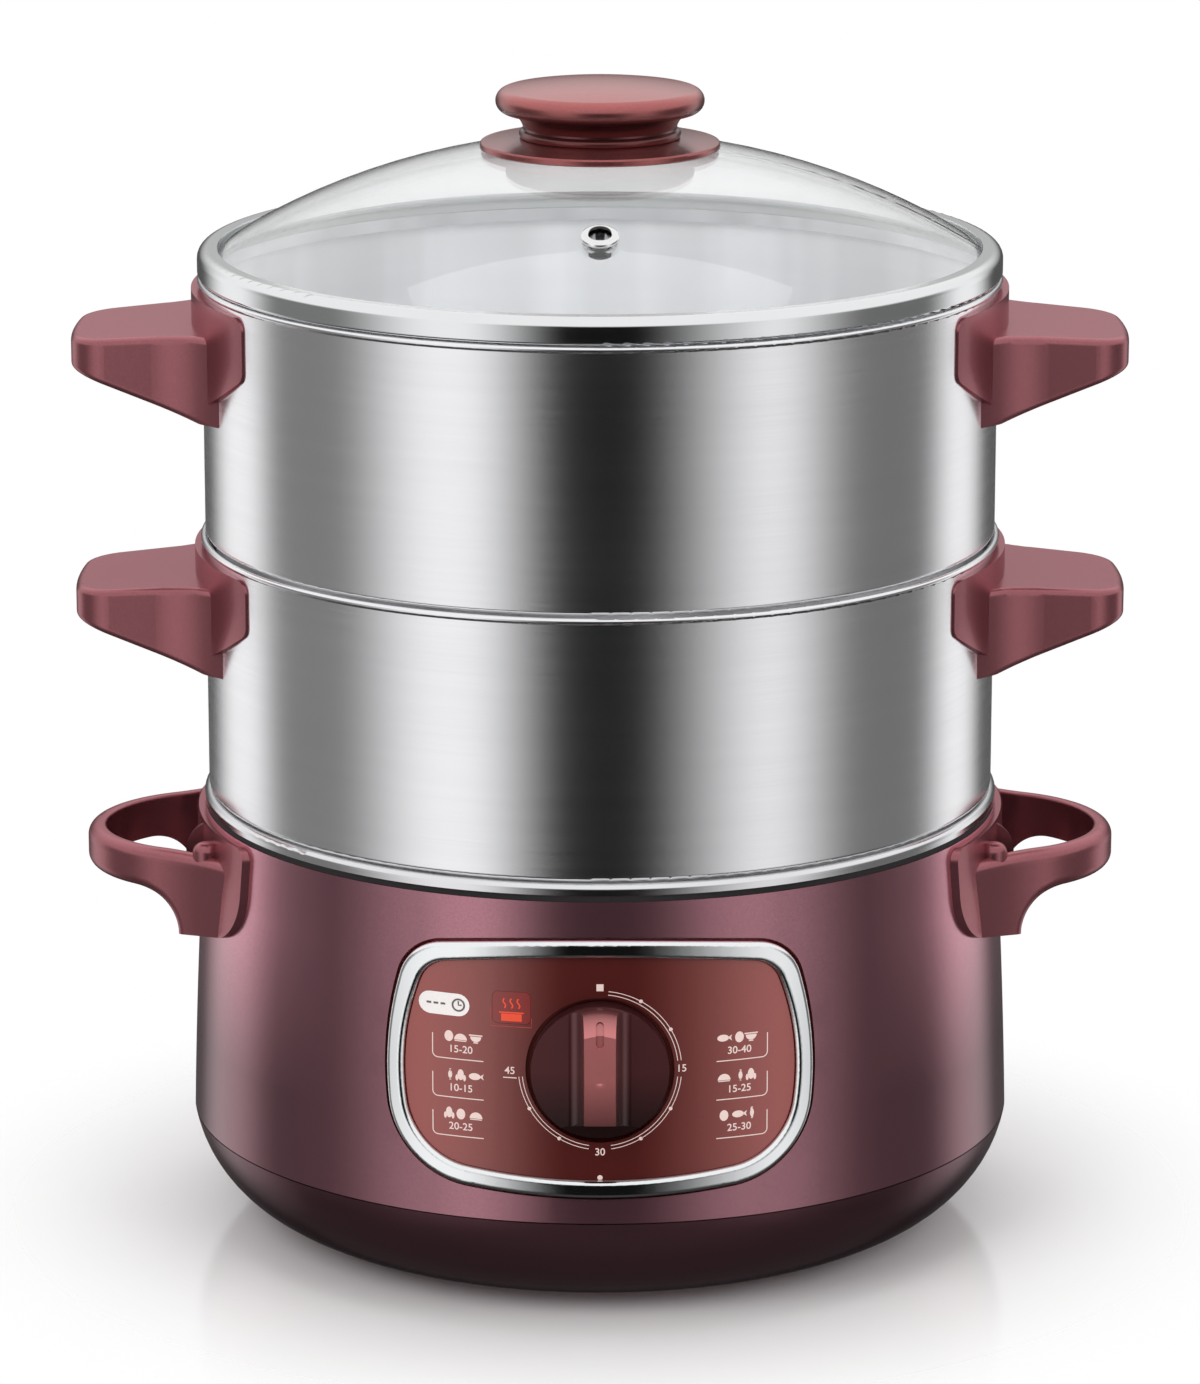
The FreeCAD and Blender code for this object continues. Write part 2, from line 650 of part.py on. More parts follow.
def loop_post():
    """The round-topped post beside the rib that takes a fixing screw."""
    top = LOOP_TOP + BASE_SHIELD_RISE / 2
    radius = flank_radius(LOOP_TOP) + LOOP_POST_RADIUS - 1
    post = disc(LOOP_POST_RADIUS, LOOP_TOP - LOOP_POST_DEPTH, top, radius)
    crest = [edge for edge in post.Edges if edge_middle(edge).z > top - 0.01]
    post = post.makeFillet(LOOP_POST_RADIUS * 0.7, crest)
    lean = math.degrees(math.asin(BASE_SCREW_SPREAD / 2 / radius))
    return [spun(post, -lean), spun(post, lean)]


def shield_prism():
    """The handle's outline seen from its side of the base, run out from the axis."""
    top = LOOP_TOP + BASE_SHIELD_RISE
    side = LOOP_TOP - BASE_SHIELD_SIDE
    bottom = LOOP_TOP - BASE_SHIELD_DEPTH
    half = BASE_SHIELD_HALF_WIDTH
    face = outline("YZ", (-half, top), (half, top), (half, side), ((0, bottom), (-half, side)))
    prism = face.extrude(RIGHT * FAR)
    low = [edge for edge in edges_along(prism, RIGHT) if edge_middle(edge).z < side + 1]
    prism = prism.makeFillet(BASE_SHIELD_CORNER, low)
    high = [edge for edge in edges_along(prism, RIGHT) if edge_middle(edge).z > top - 1]
    return prism.makeFillet(BASE_SHIELD_TOP_CORNER, high)


def base_handle():
    """The grip, the shield that follows the housing's wall, and what stiffens their corner."""
    shield = housing_skin(PART_GAP / 2, BASE_SHIELD_THICKNESS)
    handle = joined(handle_loop(), shield.common(shield_prism()), *loop_rib(), *loop_post())
    handle = handle.common(shield_prism()).cut(housing_form(PART_GAP / 2))
    return handle.cut(base_screw_places(pilot(BASE_SCREW_LENGTH + PART_GAP)))


# ---------------------------------------------------------------- water tank and heater
def water_tank():
    """The drawn steel pan that holds the water: a rolled rim that rests on the housing, a
    collar that takes the tier's foot, a ledge, and a narrower body below it."""
    inner = TANK_RADIUS - SHEET
    roll = (TANK_RIM_RADIUS - inner) / 2
    low = TANK_RIM_TOP - TANK_RIM_HEIGHT
    ledge = TANK_RIM_TOP - TANK_LEDGE_DEPTH
    fall = TANK_RADIUS - TANK_BODY_RADIUS
    body_inner = TANK_BODY_RADIUS - SHEET
    corner_at = (TANK_BODY_RADIUS - TANK_CORNER, TANK_FLOOR - SHEET + TANK_CORNER)
    outer_start, outer_arc = bend(corner_at, TANK_CORNER, 0, -90)
    inner_start, inner_arc = bend(corner_at, TANK_CORNER - SHEET, -90, 0)
    rim_arc = (inner + roll, TANK_RIM_TOP), (TANK_RIM_RADIUS, TANK_RIM_TOP - roll)
    return turned(
        (0, TANK_FLOOR), inner_start, inner_arc, (body_inner, ledge - fall / 2), (inner, ledge),
        (inner, TANK_RIM_TOP - roll), rim_arc,
        (TANK_RIM_RADIUS, low + 0.5), (TANK_RIM_RADIUS - 0.5, low),
        (TANK_RADIUS, low), (TANK_RADIUS, ledge - SHEET / 2),
        (TANK_BODY_RADIUS, ledge - fall / 2 - SHEET / 2), outer_start, outer_arc, (0, TANK_FLOOR - SHEET),
    )


def tank_seal():
    outer = SHOULDER_RADIUS - SEAL_INSET
    return disc(outer, HOUSING_TOP, HOUSING_TOP + SEAL_THICKNESS).cut(disc(TANK_RADIUS, 0, FAR))


def heater_end(side):
    """Where the heater ring stops, on one side of its gap, and the direction it runs there."""
    half = side * math.radians(TUBE_OPENING / 2)
    outward = FreeCAD.Vector(math.cos(half), math.sin(half), 0)
    along = FreeCAD.Vector(math.sin(half), -math.cos(half), 0) * side
    return outward * TUBE_RING_RADIUS + UP * PLATE_BOTTOM, along


def heater_leg(side):
    """The elbow and the straight leg at one end of the ring, as path edges, and the leg's foot."""
    place, along = heater_end(side)
    slant = math.sqrt(0.5) * TUBE_ELBOW
    middle = place + along * slant + UP * (slant - TUBE_ELBOW)
    low = place + along * TUBE_ELBOW - UP * TUBE_ELBOW
    foot = low - UP * (TUBE_LEG - TUBE_ELBOW)
    return [Part.Arc(place, middle, low).toShape(), Part.LineSegment(low, foot).toShape()], foot


def heater_tube():
    """The sheathed element: an open ring let into the plate, with two legs down to its terminals."""
    first, foot = heater_leg(1)
    last, _ = heater_leg(-1)
    far_side = FreeCAD.Vector(-TUBE_RING_RADIUS, 0, PLATE_BOTTOM)
    ring = Part.Arc(heater_end(1)[0], far_side, heater_end(-1)[0]).toShape()
    path = Part.Wire(Part.__sortEdges__(first + [ring] + last))
    section = Part.Wire(Part.makeCircle(TUBE_RADIUS, foot, UP))
    return spun(path.makePipeShell([section], True, False), HEATER_TURN)


def heater_terminals():
    pins = []
    for side in (1, -1):
        foot = heater_leg(side)[1]
        pin = disc(TERMINAL_PIN_RADIUS, foot.z - TERMINAL_PIN_LENGTH, foot.z, foot.x, foot.y)
        bead = disc(TUBE_RADIUS - 0.4, foot.z - 2, foot.z, foot.x, foot.y)
        pins.append(spun(joined(pin, bead), HEATER_TURN))
    return pins


def heating_plate(tube):
    plate = disc(PLATE_RADIUS, PLATE_BOTTOM, PLATE_TOP)
    low = [edge for edge in plate.Edges if edge_middle(edge).z < PLATE_BOTTOM + 0.1]
    plate = plate.makeChamfer(1.0, low)
    studs = []
    for x in (-STUD_SPREAD / 2, STUD_SPREAD / 2):
        studs.append(disc(STUD_SHOULDER_RADIUS, YOKE_TOP, PLATE_BOTTOM + 1, x))
        studs.append(disc(STUD_RADIUS, YOKE_BOTTOM - NUT_HEIGHT - 1.5, YOKE_TOP, x))
    return joined(plate, *studs).cut(tube)


def tank_yoke():
    """The steel strap that draws the plate and the tank down on to the housing's bosses."""
    half = YOKE_WIDTH / 2
    strap = block((-YOKE_HALF_LENGTH, YOKE_HALF_LENGTH), (-half, half), (YOKE_BOTTOM, YOKE_TOP))
    strap = strap.makeFillet(YOKE_BOSS_WIDTH * 0.4, edges_along(strap, UP))
    cuts = []
    for side in (-1, 1):
        cuts.append(disc(STUD_RADIUS + SCREW_CLEARANCE, 0, FAR, side * STUD_SPREAD / 2))
        cuts.append(disc(SCREW_RADIUS + SCREW_CLEARANCE, 0, FAR, side * YOKE_SCREW_X))
    return strap.cut(cuts)


def yoke_nuts():
    radius = NUT_FLATS / math.sqrt(3)
    turns = [math.radians(60 * index) for index in range(6)]
    corners = [(radius * math.cos(turn), radius * math.sin(turn)) for turn in turns]
    nut = outline("XY", *corners).extrude(UP * NUT_HEIGHT)
    nut = moved(nut, 0, 0, YOKE_BOTTOM - NUT_HEIGHT).cut(disc(STUD_RADIUS + THREAD_GAP, 0, FAR))
    return [moved(nut, side * STUD_SPREAD / 2) for side in (-1, 1)]


def yoke_screws():
    down = screw(SCREW_LENGTH)
    down.rotate(ORIGIN, BACK, 90)
    return [moved(down, side * YOKE_SCREW_X, 0, YOKE_TOP) for side in (-1, 1)]


def thermostat():
    low = PLATE_BOTTOM - THERMOSTAT_HEIGHT
    can = disc(THERMOSTAT_RADIUS, low, PLATE_BOTTOM, 0, THERMOSTAT_OFFSET)
    across = (THERMOSTAT_OFFSET - 4, THERMOSTAT_OFFSET + 4)
    ears = block((-13, 13), across, (PLATE_BOTTOM - 1, PLATE_BOTTOM))
    tabs = []
    for x in (-THERMOSTAT_TAB_SPREAD / 2, THERMOSTAT_TAB_SPREAD / 2):
        tabs.append(block((x - TAB_HALF, x + TAB_HALF), across, (low - TAB_LENGTH, low)))
    return joined(can, ears, *tabs)


def thermal_fuse():
    middle = PLATE_BOTTOM - FUSE_RADIUS
    start = FreeCAD.Vector(-FUSE_LENGTH / 2, -THERMOSTAT_OFFSET, middle)
    capsule = Part.makeCylinder(FUSE_RADIUS, FUSE_LENGTH, start, RIGHT)
    lead_start = FreeCAD.Vector(-FUSE_LENGTH, -THERMOSTAT_OFFSET, middle)
    return joined(capsule, Part.makeCylinder(0.6, FUSE_LENGTH * 2, lead_start, RIGHT))


# ---------------------------------------------------------------- control panel
def panel_prism(inset):
    """The rounded four-sided outline of the panel, run through the front wall."""
    top = PANEL_TOP - inset
    bottom = PANEL_BOTTOM + inset
    top_x = PANEL_TOP_CORNER_X - inset
    top_z = PANEL_TOP - PANEL_TOP_CORNER_DROP - inset
    bottom_x = PANEL_BOTTOM_CORNER_X - inset
    bottom_z = PANEL_BOTTOM + PANEL_BOTTOM_CORNER_RISE + inset
    side = (PANEL_HALF_WIDTH - inset, PANEL_WIDEST_HEIGHT)
    face = outline(
        "XZ", (-top_x, top_z), ((0, top), (top_x, top_z)), (side, (bottom_x, bottom_z)),
        ((0, bottom), (-bottom_x, bottom_z)), ((-side[0], side[1]), (-top_x, top_z)),
    )
    prism = face.extrude(FRONT * FAR)
    corners = edges_along(prism, BACK)
    upper = [edge for edge in corners if edge_middle(edge).z > PANEL_WIDEST_HEIGHT]
    prism = prism.makeFillet(PANEL_TOP_ROUND - inset, upper)
    lower = [edge for edge in edges_along(prism, BACK) if is_low_corner(edge, bottom_x, bottom_z)]
    return prism.makeFillet(PANEL_BOTTOM_ROUND - inset, lower)


def is_low_corner(edge, x, z):
    middle = edge_middle(edge)
    return abs(abs(middle.x) - x) < 0.01 and abs(middle.z - z) < 0.01


def panel_bezel():
    """The bright frame round the panel, rounded over on its front."""
    ring = panel_prism(0).cut(panel_prism(BEZEL_WIDTH))
    bezel = ring.common(housing_skin(-HOUSING_WALL, BEZEL_PROUD))
    front = housing_form(BEZEL_PROUD).Shells[0]
    rounded = []
    for edge in bezel.Edges:
        if Part.Vertex(edge_middle(edge)).distToShape(front)[0] < 1e-3:
            rounded.append(edge)
    return bezel.makeFillet(BEZEL_ROUND, rounded)


def well_floor():
    """How far the floor of the knob's well lies in front of the axis."""
    return flank_radius(DIAL_HEIGHT) + PANEL_PROUD - DIAL_WELL_DEPTH


def dial_cylinder(radius, near, far):
    """A disc on the knob's axis, between two distances in front of the vertical axis."""
    return Part.makeCylinder(radius, far - near, FreeCAD.Vector(0, -near, DIAL_HEIGHT), FRONT)


def lens_prism(grow):
    half_width = LENS_WIDTH / 2 + grow
    half_height = LENS_HEIGHT / 2 + grow
    middle = DIAL_HEIGHT + LENS_RISE
    prism = block(
        (LENS_X - half_width, LENS_X + half_width), (-FAR, 0), (middle - half_height, middle + half_height)
    )
    return prism.makeFillet(LENS_CORNER + grow, edges_along(prism, BACK))


def control_panel():
    """The glossy panel: a raised face inside the bezel and a flange behind the wall."""
    back = -HOUSING_WALL - PANEL_FLANGE_THICKNESS
    face = panel_prism(BEZEL_WIDTH + PART_GAP).common(housing_skin(back, PANEL_PROUD))
    flange = panel_prism(-PANEL_FLANGE).common(housing_skin(back, -HOUSING_WALL - PART_GAP))
    floor = well_floor()
    boss = dial_cylinder(DIAL_WELL_RADIUS + DIAL_WELL_WALL, floor - DIAL_WELL_WALL, floor + 2)
    panel = joined(face, flange, boss.common(housing_form(back / 2)))
    for x in (-timer_ear_x(), timer_ear_x()):
        post = Part.makeCylinder(4.0, 12.0, FreeCAD.Vector(x, -timer_face(), DIAL_HEIGHT), FRONT)
        panel = panel.fuse(post.common(housing_form(-HOUSING_WALL)))
    panel = panel.cut(dial_cylinder(DIAL_WELL_RADIUS, floor, FAR))
    panel = panel.cut(dial_cylinder(SHAFT_RADIUS + 2, 0, FAR))
    for x in (-timer_ear_x(), timer_ear_x()):
        panel = panel.cut(timer_screw_hole(x))
    return panel.cut(lens_prism(PART_GAP).common(housing_skin(-LENS_THICKNESS, BEZEL_PROUD)))


def indicator_lens():
    return lens_prism(0).common(housing_skin(-LENS_THICKNESS + PART_GAP, PANEL_PROUD))


# ---------------------------------------------------------------- timer and knob
def timer_face():
    """How far the timer's mounting plate lies in front of the axis."""
    return well_floor() - DIAL_WELL_WALL - TIMER_STANDOFF


def timer_ear_x():
    return (TIMER_WIDTH + TIMER_EAR) / 2


def timer_screw_hole(x):
    start = FreeCAD.Vector(x, -timer_face(), DIAL_HEIGHT)
    return Part.makeCylinder(SCREW_RADIUS + THREAD_GAP, 5.0, start, FRONT)


def timer_mechanism():
    """The clockwork timer in its sealed case, with two fixing ears and a bore for its shaft."""
    face = timer_face()
    half = TIMER_WIDTH / 2
    ear = TIMER_EAR_HEIGHT / 2
    back = -face + TIMER_PLATE + TIMER_DEPTH
    case = block((-half, half), (-face, back), (DIAL_HEIGHT - half, DIAL_HEIGHT + half))
    case = case.makeFillet(3.0, edges_along(case, BACK))
    reach = half + TIMER_EAR
    ears = block((-reach, reach), (-face, -face + TIMER_PLATE), (DIAL_HEIGHT - ear, DIAL_HEIGHT + ear))
    tab_range = (TIMER_TAB_HEIGHT - 3, TIMER_TAB_HEIGHT + 3)
    tabs = []
    for x in (-TIMER_TAB_SPREAD / 2, TIMER_TAB_SPREAD / 2):
        tabs.append(block((x - TAB_HALF, x + TAB_HALF), (back - 1, back + TAB_LENGTH), tab_range))
    bore = dial_cylinder(SHAFT_RADIUS + SHAFT_CLEARANCE, face - TIMER_DEPTH * 0.7, FAR)
    holes = []
    for x in (-timer_ear_x(), timer_ear_x()):
        start = FreeCAD.Vector(x, -face + TIMER_PLATE, DIAL_HEIGHT)
        holes.append(Part.makeCylinder(SCREW_RADIUS + SCREW_CLEARANCE, TIMER_PLATE, start, FRONT))
    return joined(case, ears, *tabs).cut([bore] + holes)


def timer_screws():
    forward = screw(TIMER_PLATE + 4.5)
    forward.rotate(ORIGIN, UP, -90)
    forward = moved(forward, 0, -timer_face() + TIMER_PLATE, DIAL_HEIGHT)
    return [moved(forward, -timer_ear_x()), moved(forward, timer_ear_x())]


def timer_shaft():
    front = well_floor() + DIAL_BACK_GAP + DIAL_SKIRT
    return dial_cylinder(SHAFT_RADIUS, timer_face() - TIMER_DEPTH * 0.65, front)


def timer_knob():
    """A round skirt with one upright grip, hollowed on both sides; a notch marks its pointer."""
    def envelope(lower):
        shoulder = (DIAL_RADIUS - 7.5, DIAL_THICKNESS * 0.93 - lower)
        return turned(
            (0, 0), (DIAL_RADIUS - 0.6, 0), (DIAL_RADIUS, 0.6),
            (DIAL_RADIUS - 0.2, DIAL_SKIRT - 1.6 - lower),
            ((DIAL_RADIUS - 2.2, DIAL_THICKNESS * 0.68 - lower), shoulder),
            dome(*shoulder, DIAL_THICKNESS - lower),
        )

    knob = envelope(0)
    hollow = outline(
        "XZ", (GRIP_TOP_HALF_WIDTH, DIAL_THICKNESS + 1), (GRIP_TOP_HALF_WIDTH + 0.5, DIAL_THICKNESS * 0.62),
        ((GRIP_TOP_HALF_WIDTH + 1.9, DIAL_SKIRT + 1.4), (GRIP_ROOT_HALF_WIDTH + 1, DIAL_SKIRT)),
        (DIAL_RADIUS + 1, DIAL_SKIRT - 2.2), (DIAL_RADIUS + 1, DIAL_THICKNESS + 1),
    )
    right = moved(hollow.extrude(BACK * 2 * DIAL_RADIUS), 0, -DIAL_RADIUS)
    foot = outline(
        "YZ", (2 - GRIP_FOOT, DIAL_THICKNESS + 1), (-GRIP_FOOT, DIAL_SKIRT + 2.5),
        ((0.7 - GRIP_FOOT - 1.6, DIAL_SKIRT + 0.6), (-GRIP_FOOT - 3, DIAL_SKIRT - 0.6)),
        (-DIAL_RADIUS - 1, DIAL_SKIRT - 2.2), (-DIAL_RADIUS - 1, DIAL_THICKNESS + 1),
    )
    below = moved(foot.extrude(RIGHT * 2 * DIAL_RADIUS), -DIAL_RADIUS)
    knob = knob.cut([right, spun(right, 180), below])
    half = POINTER_WIDTH / 2
    notch = block((-half, half), (POINTER_INNER, POINTER_OUTER), (0, DIAL_THICKNESS + 1))
    notch = notch.makeFillet(half * 0.95, edges_along(notch, UP))
    knob = knob.cut(notch.cut(envelope(POINTER_DEPTH)))
    knob = knob.cut(disc(SHAFT_RADIUS, -1, DIAL_SKIRT))
    knob.rotate(ORIGIN, RIGHT, 90)
    return moved(knob, 0, -well_floor() - DIAL_BACK_GAP, DIAL_HEIGHT)


def indicator_lamp():
    start = FreeCAD.Vector(LENS_X - (LAMP_LENGTH + LAMP_RADIUS) / 2, 0, DIAL_HEIGHT + LENS_RISE)
    depth = flank_radius(DIAL_HEIGHT + LENS_RISE) - HOUSING_WALL - PANEL_FLANGE_THICKNESS - 4
    start.y = -math.sqrt(depth ** 2 - (abs(LENS_X) + LAMP_LENGTH / 2) ** 2) + LAMP_RADIUS
    lamp = Part.makeCylinder(LAMP_RADIUS, LAMP_LENGTH, start, RIGHT)
    tip = Part.makeSphere(LAMP_RADIUS, start + RIGHT * LAMP_LENGTH)
    return joined(lamp, tip)


# ---------------------------------------------------------------- mains inlet
def gland_hole(radius):
    return Part.makeCylinder(radius, WIDEST_RADIUS + 20, FreeCAD.Vector(0, 0, GLAND_HEIGHT), BACK)


def cord_gland():
    """The rubber bush in the back wall: a flange on each side of the wall and a short nose outside."""
    radius = flank_radius(GLAND_HEIGHT)
    back = radius + GLAND_FLANGE
    start = FreeCAD.Vector(0, radius - HOUSING_WALL - GLAND_FLANGE, GLAND_HEIGHT)
    flanges = Part.makeCylinder(GLAND_FLANGE_RADIUS, back - start.y, start, BACK)
    nose = Part.makeCone(
        GLAND_NOSE_RADIUS + 0.6, GLAND_NOSE_RADIUS, GLAND_NOSE, FreeCAD.Vector(0, back, GLAND_HEIGHT), BACK
    )
    body = joined(flanges, nose)
    wall = housing_skin(-HOUSING_WALL - THREAD_GAP, THREAD_GAP).cut(gland_hole(GLAND_NECK_RADIUS))
    return body.cut(wall).cut(gland_hole(GLAND_BORE_RADIUS))


def terminal_block():
    width, depth, height = TERMINAL_BLOCK
    body = block(
        (-width / 2, width / 2), (TERMINAL_BLOCK_Y - depth / 2, TERMINAL_BLOCK_Y + depth / 2),
        (COVER_TOP, COVER_TOP + height),
    )
    body = body.makeFillet(1.5, edges_along(body, UP))
    wells = []
    for index in range(TERMINAL_POLES):
        x = (index - (TERMINAL_POLES - 1) / 2) * width / TERMINAL_POLES
        bottom = COVER_TOP + height - TERMINAL_POLE_DEPTH
        wells.append(disc(TERMINAL_POLE_RADIUS, bottom, FAR, x, TERMINAL_BLOCK_Y))
    return body.cut(wells)


# ---------------------------------------------------------------- steaming tiers
def tier_pan(bottom):
    """A drawn steel ring with a rolled rim, a shoulder that rests on the rim below and a
    shallow sunk floor full of steam holes."""
    top = bottom + TIER_HEIGHT
    inner = TIER_RADIUS - SHEET
    floor = bottom - SPIGOT_DEPTH
    bead_low = top - 2 * TIER_BEAD
    spigot_inner = SPIGOT_RADIUS - SHEET
    corner_at = (SPIGOT_RADIUS - SPIGOT_CORNER, floor + SPIGOT_CORNER)
    shoulder_at = (TIER_RADIUS - TIER_SHOULDER, bottom + TIER_SHOULDER)
    shoulder_start, shoulder_arc = bend(shoulder_at, TIER_SHOULDER, 0, -90)
    corner_start, corner_arc = bend(corner_at, SPIGOT_CORNER, 0, -90)
    inner_start, inner_arc = bend(corner_at, SPIGOT_CORNER - SHEET, -90, 0)
    step_start, step_arc = bend(shoulder_at, TIER_SHOULDER - SHEET, -90, 0)
    pan = turned(
        (TIER_RADIUS, bead_low), shoulder_start, shoulder_arc, (SPIGOT_RADIUS, bottom),
        corner_start, corner_arc, (0, floor), (0, floor + SHEET), inner_start, inner_arc,
        (spigot_inner, bottom + SHEET), step_start, step_arc, (inner, top - TIER_BEAD),
        ((inner + TIER_BEAD, top), (inner + 2 * TIER_BEAD, top - TIER_BEAD)),
        ((inner + 1.7 * TIER_BEAD, top - 1.8 * TIER_BEAD), (TIER_RADIUS, bead_low)),
    )
    holes = [disc(STEAM_HOLE_RADIUS, floor - 1, floor + SHEET + 1)]
    for ring in range(1, STEAM_HOLE_RINGS + 1):
        for index in range(6 * ring):
            hole = disc(STEAM_HOLE_RADIUS, floor - 1, floor + SHEET + 1, ring * STEAM_HOLE_SPACING)
            holes.append(spun(hole, 60 * index / ring))
    return pan.cut(holes)


def tier_screw_places(part, wing_top, seat):
    height = wing_top - TIER_SCREW_DROP
    return screw_places(part, TIER_SCREW_SPREAD, TIER_RADIUS - SHEET - PART_GAP - seat, height)


def wing_plan():
    """The wing from above: a rounded tip, sides that widen to the root and flare into the shield."""
    leave = (TIER_RADIUS + WING_FLARE_LENGTH, WING_ROOT_HALF_WIDTH - 1)
    tip = (WING_REACH - WING_TIP_BULGE, WING_TIP_HALF_WIDTH)
    heading = math.degrees(math.atan2(leave[1] - tip[1], leave[0] - tip[0]))
    wall = (math.sqrt(TIER_RADIUS ** 2 - WING_FLARE ** 2), WING_FLARE)
    via, end = sweep(leave, heading, wall)
    root = wall[0] - 2 * SHIELD_THICKNESS
    return outline(
        "XY", (root, -WING_FLARE), opposite(wall), (opposite(via), opposite(leave)), opposite(tip),
        ((WING_REACH, 0), tip), leave, (via, end), (root, WING_FLARE),
    )


def handle_wing(wing_top):
    """The grip: a flat wing that thickens towards the pan and falls a little towards its tip."""
    prism = moved(wing_plan().extrude(UP * FAR), 0, 0, wing_top - FAR / 2)
    tips = [edge for edge in edges_along(prism, UP) if edge_middle(edge).x > WING_REACH - WING_CORNER]
    prism = prism.makeFillet(WING_CORNER, tips)
    root = TIER_RADIUS - WING_FLARE_LENGTH
    side = outline(
        "XZ", (root, wing_top), (TIER_RADIUS, wing_top), (WING_REACH, wing_top - WING_FALL),
        (WING_REACH, wing_top - WING_TIP_DEPTH), (TIER_RADIUS, wing_top - WING_ROOT_DEPTH),
        (root, wing_top - WING_ROOT_DEPTH),
    )
    wing = prism.common(moved(side.extrude(BACK * FAR), 0, -FAR / 2))
    return wing.makeFillet(WING_EDGE, [edge for edge in wing.Edges if is_wing_rim(edge)])


def is_wing_rim(edge):
    """True for the edges round the top and the underside of the wing outside the pan."""
    middle = edge_middle(edge)
    upright = isinstance(edge.Curve, Part.Line) and abs(edge.tangentAt(edge.FirstParameter).z) > 0.95
    across = isinstance(edge.Curve, Part.Line) and abs(edge.tangentAt(edge.FirstParameter).y) > 0.95
    return middle.x > TIER_RADIUS + 0.1 and not upright and not across


def tier_shield(wing_top, top):
    """The shield behind the wing, which hugs the pan's wall and thins out to its edges."""
    shoulder = wing_top - SHIELD_SHOULDER_DROP
    bottom = wing_top - WING_ROOT_DEPTH
    face = outline(
        "YZ", (-SHIELD_HALF_WIDTH, top), (SHIELD_HALF_WIDTH, top), (SHIELD_HALF_WIDTH, shoulder),
        ((0, bottom), (-SHIELD_HALF_WIDTH, shoulder)),
    )
    prism = face.extrude(RIGHT * FAR)
    upper = [edge for edge in edges_along(prism, RIGHT) if edge_middle(edge).z > shoulder - 1]
    prism = prism.makeFillet(SHIELD_CORNER, upper)
    outer = disc(TIER_RADIUS + SHIELD_THICKNESS - SHIELD_OFFSET, bottom, top, SHIELD_OFFSET)
    return prism.common(outer.cut(disc(TIER_RADIUS + THREAD_GAP, bottom, top)))


def tier_handle(wing_top, shield_top):
    wing = handle_wing(wing_top).cut(disc(TIER_RADIUS + THREAD_GAP, 0, wing_top + 1))
    handle = joined(wing, tier_shield(wing_top, shield_top))
    return handle.cut(tier_screw_places(pilot(SCREW_LENGTH + PART_GAP), wing_top, WASHER))


def save_tier(name, bottom, handle_drop):
    top = bottom + TIER_HEIGHT
    wing_top = top - handle_drop
    bores = tier_screw_places(pilot(SCREW_LENGTH, SCREW_RADIUS + SCREW_CLEARANCE), wing_top, 2.0)
    save(name + "_tier", tier_pan(bottom).cut(bores))
    right = tier_handle(wing_top, top - SHIELD_TOP_DROP)
    save(name + "_handle_right", right)
    save(name + "_handle_left", spun(right, 180))
    save(name + "_handle_screws", *tier_screw_places(screw(SCREW_LENGTH), wing_top, WASHER))
    washer = Part.makeCylinder(WASHER_RADIUS, WASHER, ORIGIN, RIGHT)
    washer = washer.cut(Part.makeCylinder(SCREW_RADIUS + SCREW_CLEARANCE, WASHER, ORIGIN, RIGHT))
    save(name + "_handle_washers", *tier_screw_places(washer, wing_top, WASHER))


# ---------------------------------------------------------------- lid
def crown(radius, offset=0.0):
    """A point of the glass's outer surface, or of one parallel to it, at a distance from the axis."""
    return (radius, CROWN_CENTRE + math.sqrt((GLASS_CROWN_RADIUS + offset) ** 2 - radius ** 2))


def vent_placed(shape):
    """Stand a shape made on the axis of the glass's sphere at the vent's place, square to the glass."""
    lean = math.degrees(math.asin(VENT_DISTANCE / GLASS_CROWN_RADIUS))
    shape.rotate(ORIGIN, RIGHT, lean)
    return moved(shape, 0, 0, CROWN_CENTRE)


def lid_glass():
    half = GLASS_RADIUS / 2
    glass = turned(
        crown(KNOB_HOLE_RADIUS), (crown(half), crown(GLASS_RADIUS)), crown(GLASS_RADIUS, -GLASS),
        (crown(half, -GLASS), crown(KNOB_HOLE_RADIUS, -GLASS)),
    )
    hole_radius = VENT_BORE_RADIUS + VENT_TUBE_WALL + PART_GAP
    hole = disc(hole_radius, GLASS_CROWN_RADIUS - 2 * GLASS, GLASS_CROWN_RADIUS + GLASS)
    return glass.cut(vent_placed(hole))


def rim_inside():
    """The inner line of the steel rim, from its lip over the glass down to its floor."""
    wall = LID_RIM_RADIUS - SHEET
    floor = LID_BOTTOM + SHEET
    top = LID_BOTTOM + LID_RIM_HEIGHT - SHEET
    high = LID_RIM_ROUND - SHEET
    low = LID_RIM_FOOT_ROUND - SHEET
    high_start, high_arc = bend((wall - high, top - high), high, 90, 0)
    low_start, low_arc = bend((wall - low, floor + low), low, 0, -90)
    return [(LID_LIP_RADIUS, top), high_start, high_arc, low_start, low_arc]


def lid_rim():
    """The steel band that grips the edge of the glass, with a lip that drops into the tier."""
    wall = LID_RIM_RADIUS
    top = LID_BOTTOM + LID_RIM_HEIGHT
    step = LID_STEP_RADIUS
    low = LID_RIM_FOOT_ROUND
    low_start, low_arc = bend((wall - low, LID_BOTTOM + low), low, -90, 0)
    high_start, high_arc = bend((wall - LID_RIM_ROUND, top - LID_RIM_ROUND), LID_RIM_ROUND, 0, 90)
    return turned(
        (step, LID_BOTTOM - LID_STEP_DEPTH), (step + SHEET, LID_BOTTOM - LID_STEP_DEPTH),
        (step + SHEET, LID_BOTTOM), low_start, low_arc, high_start, high_arc, (LID_LIP_RADIUS, top),
        *rim_inside(), (step, LID_BOTTOM + SHEET),
    )


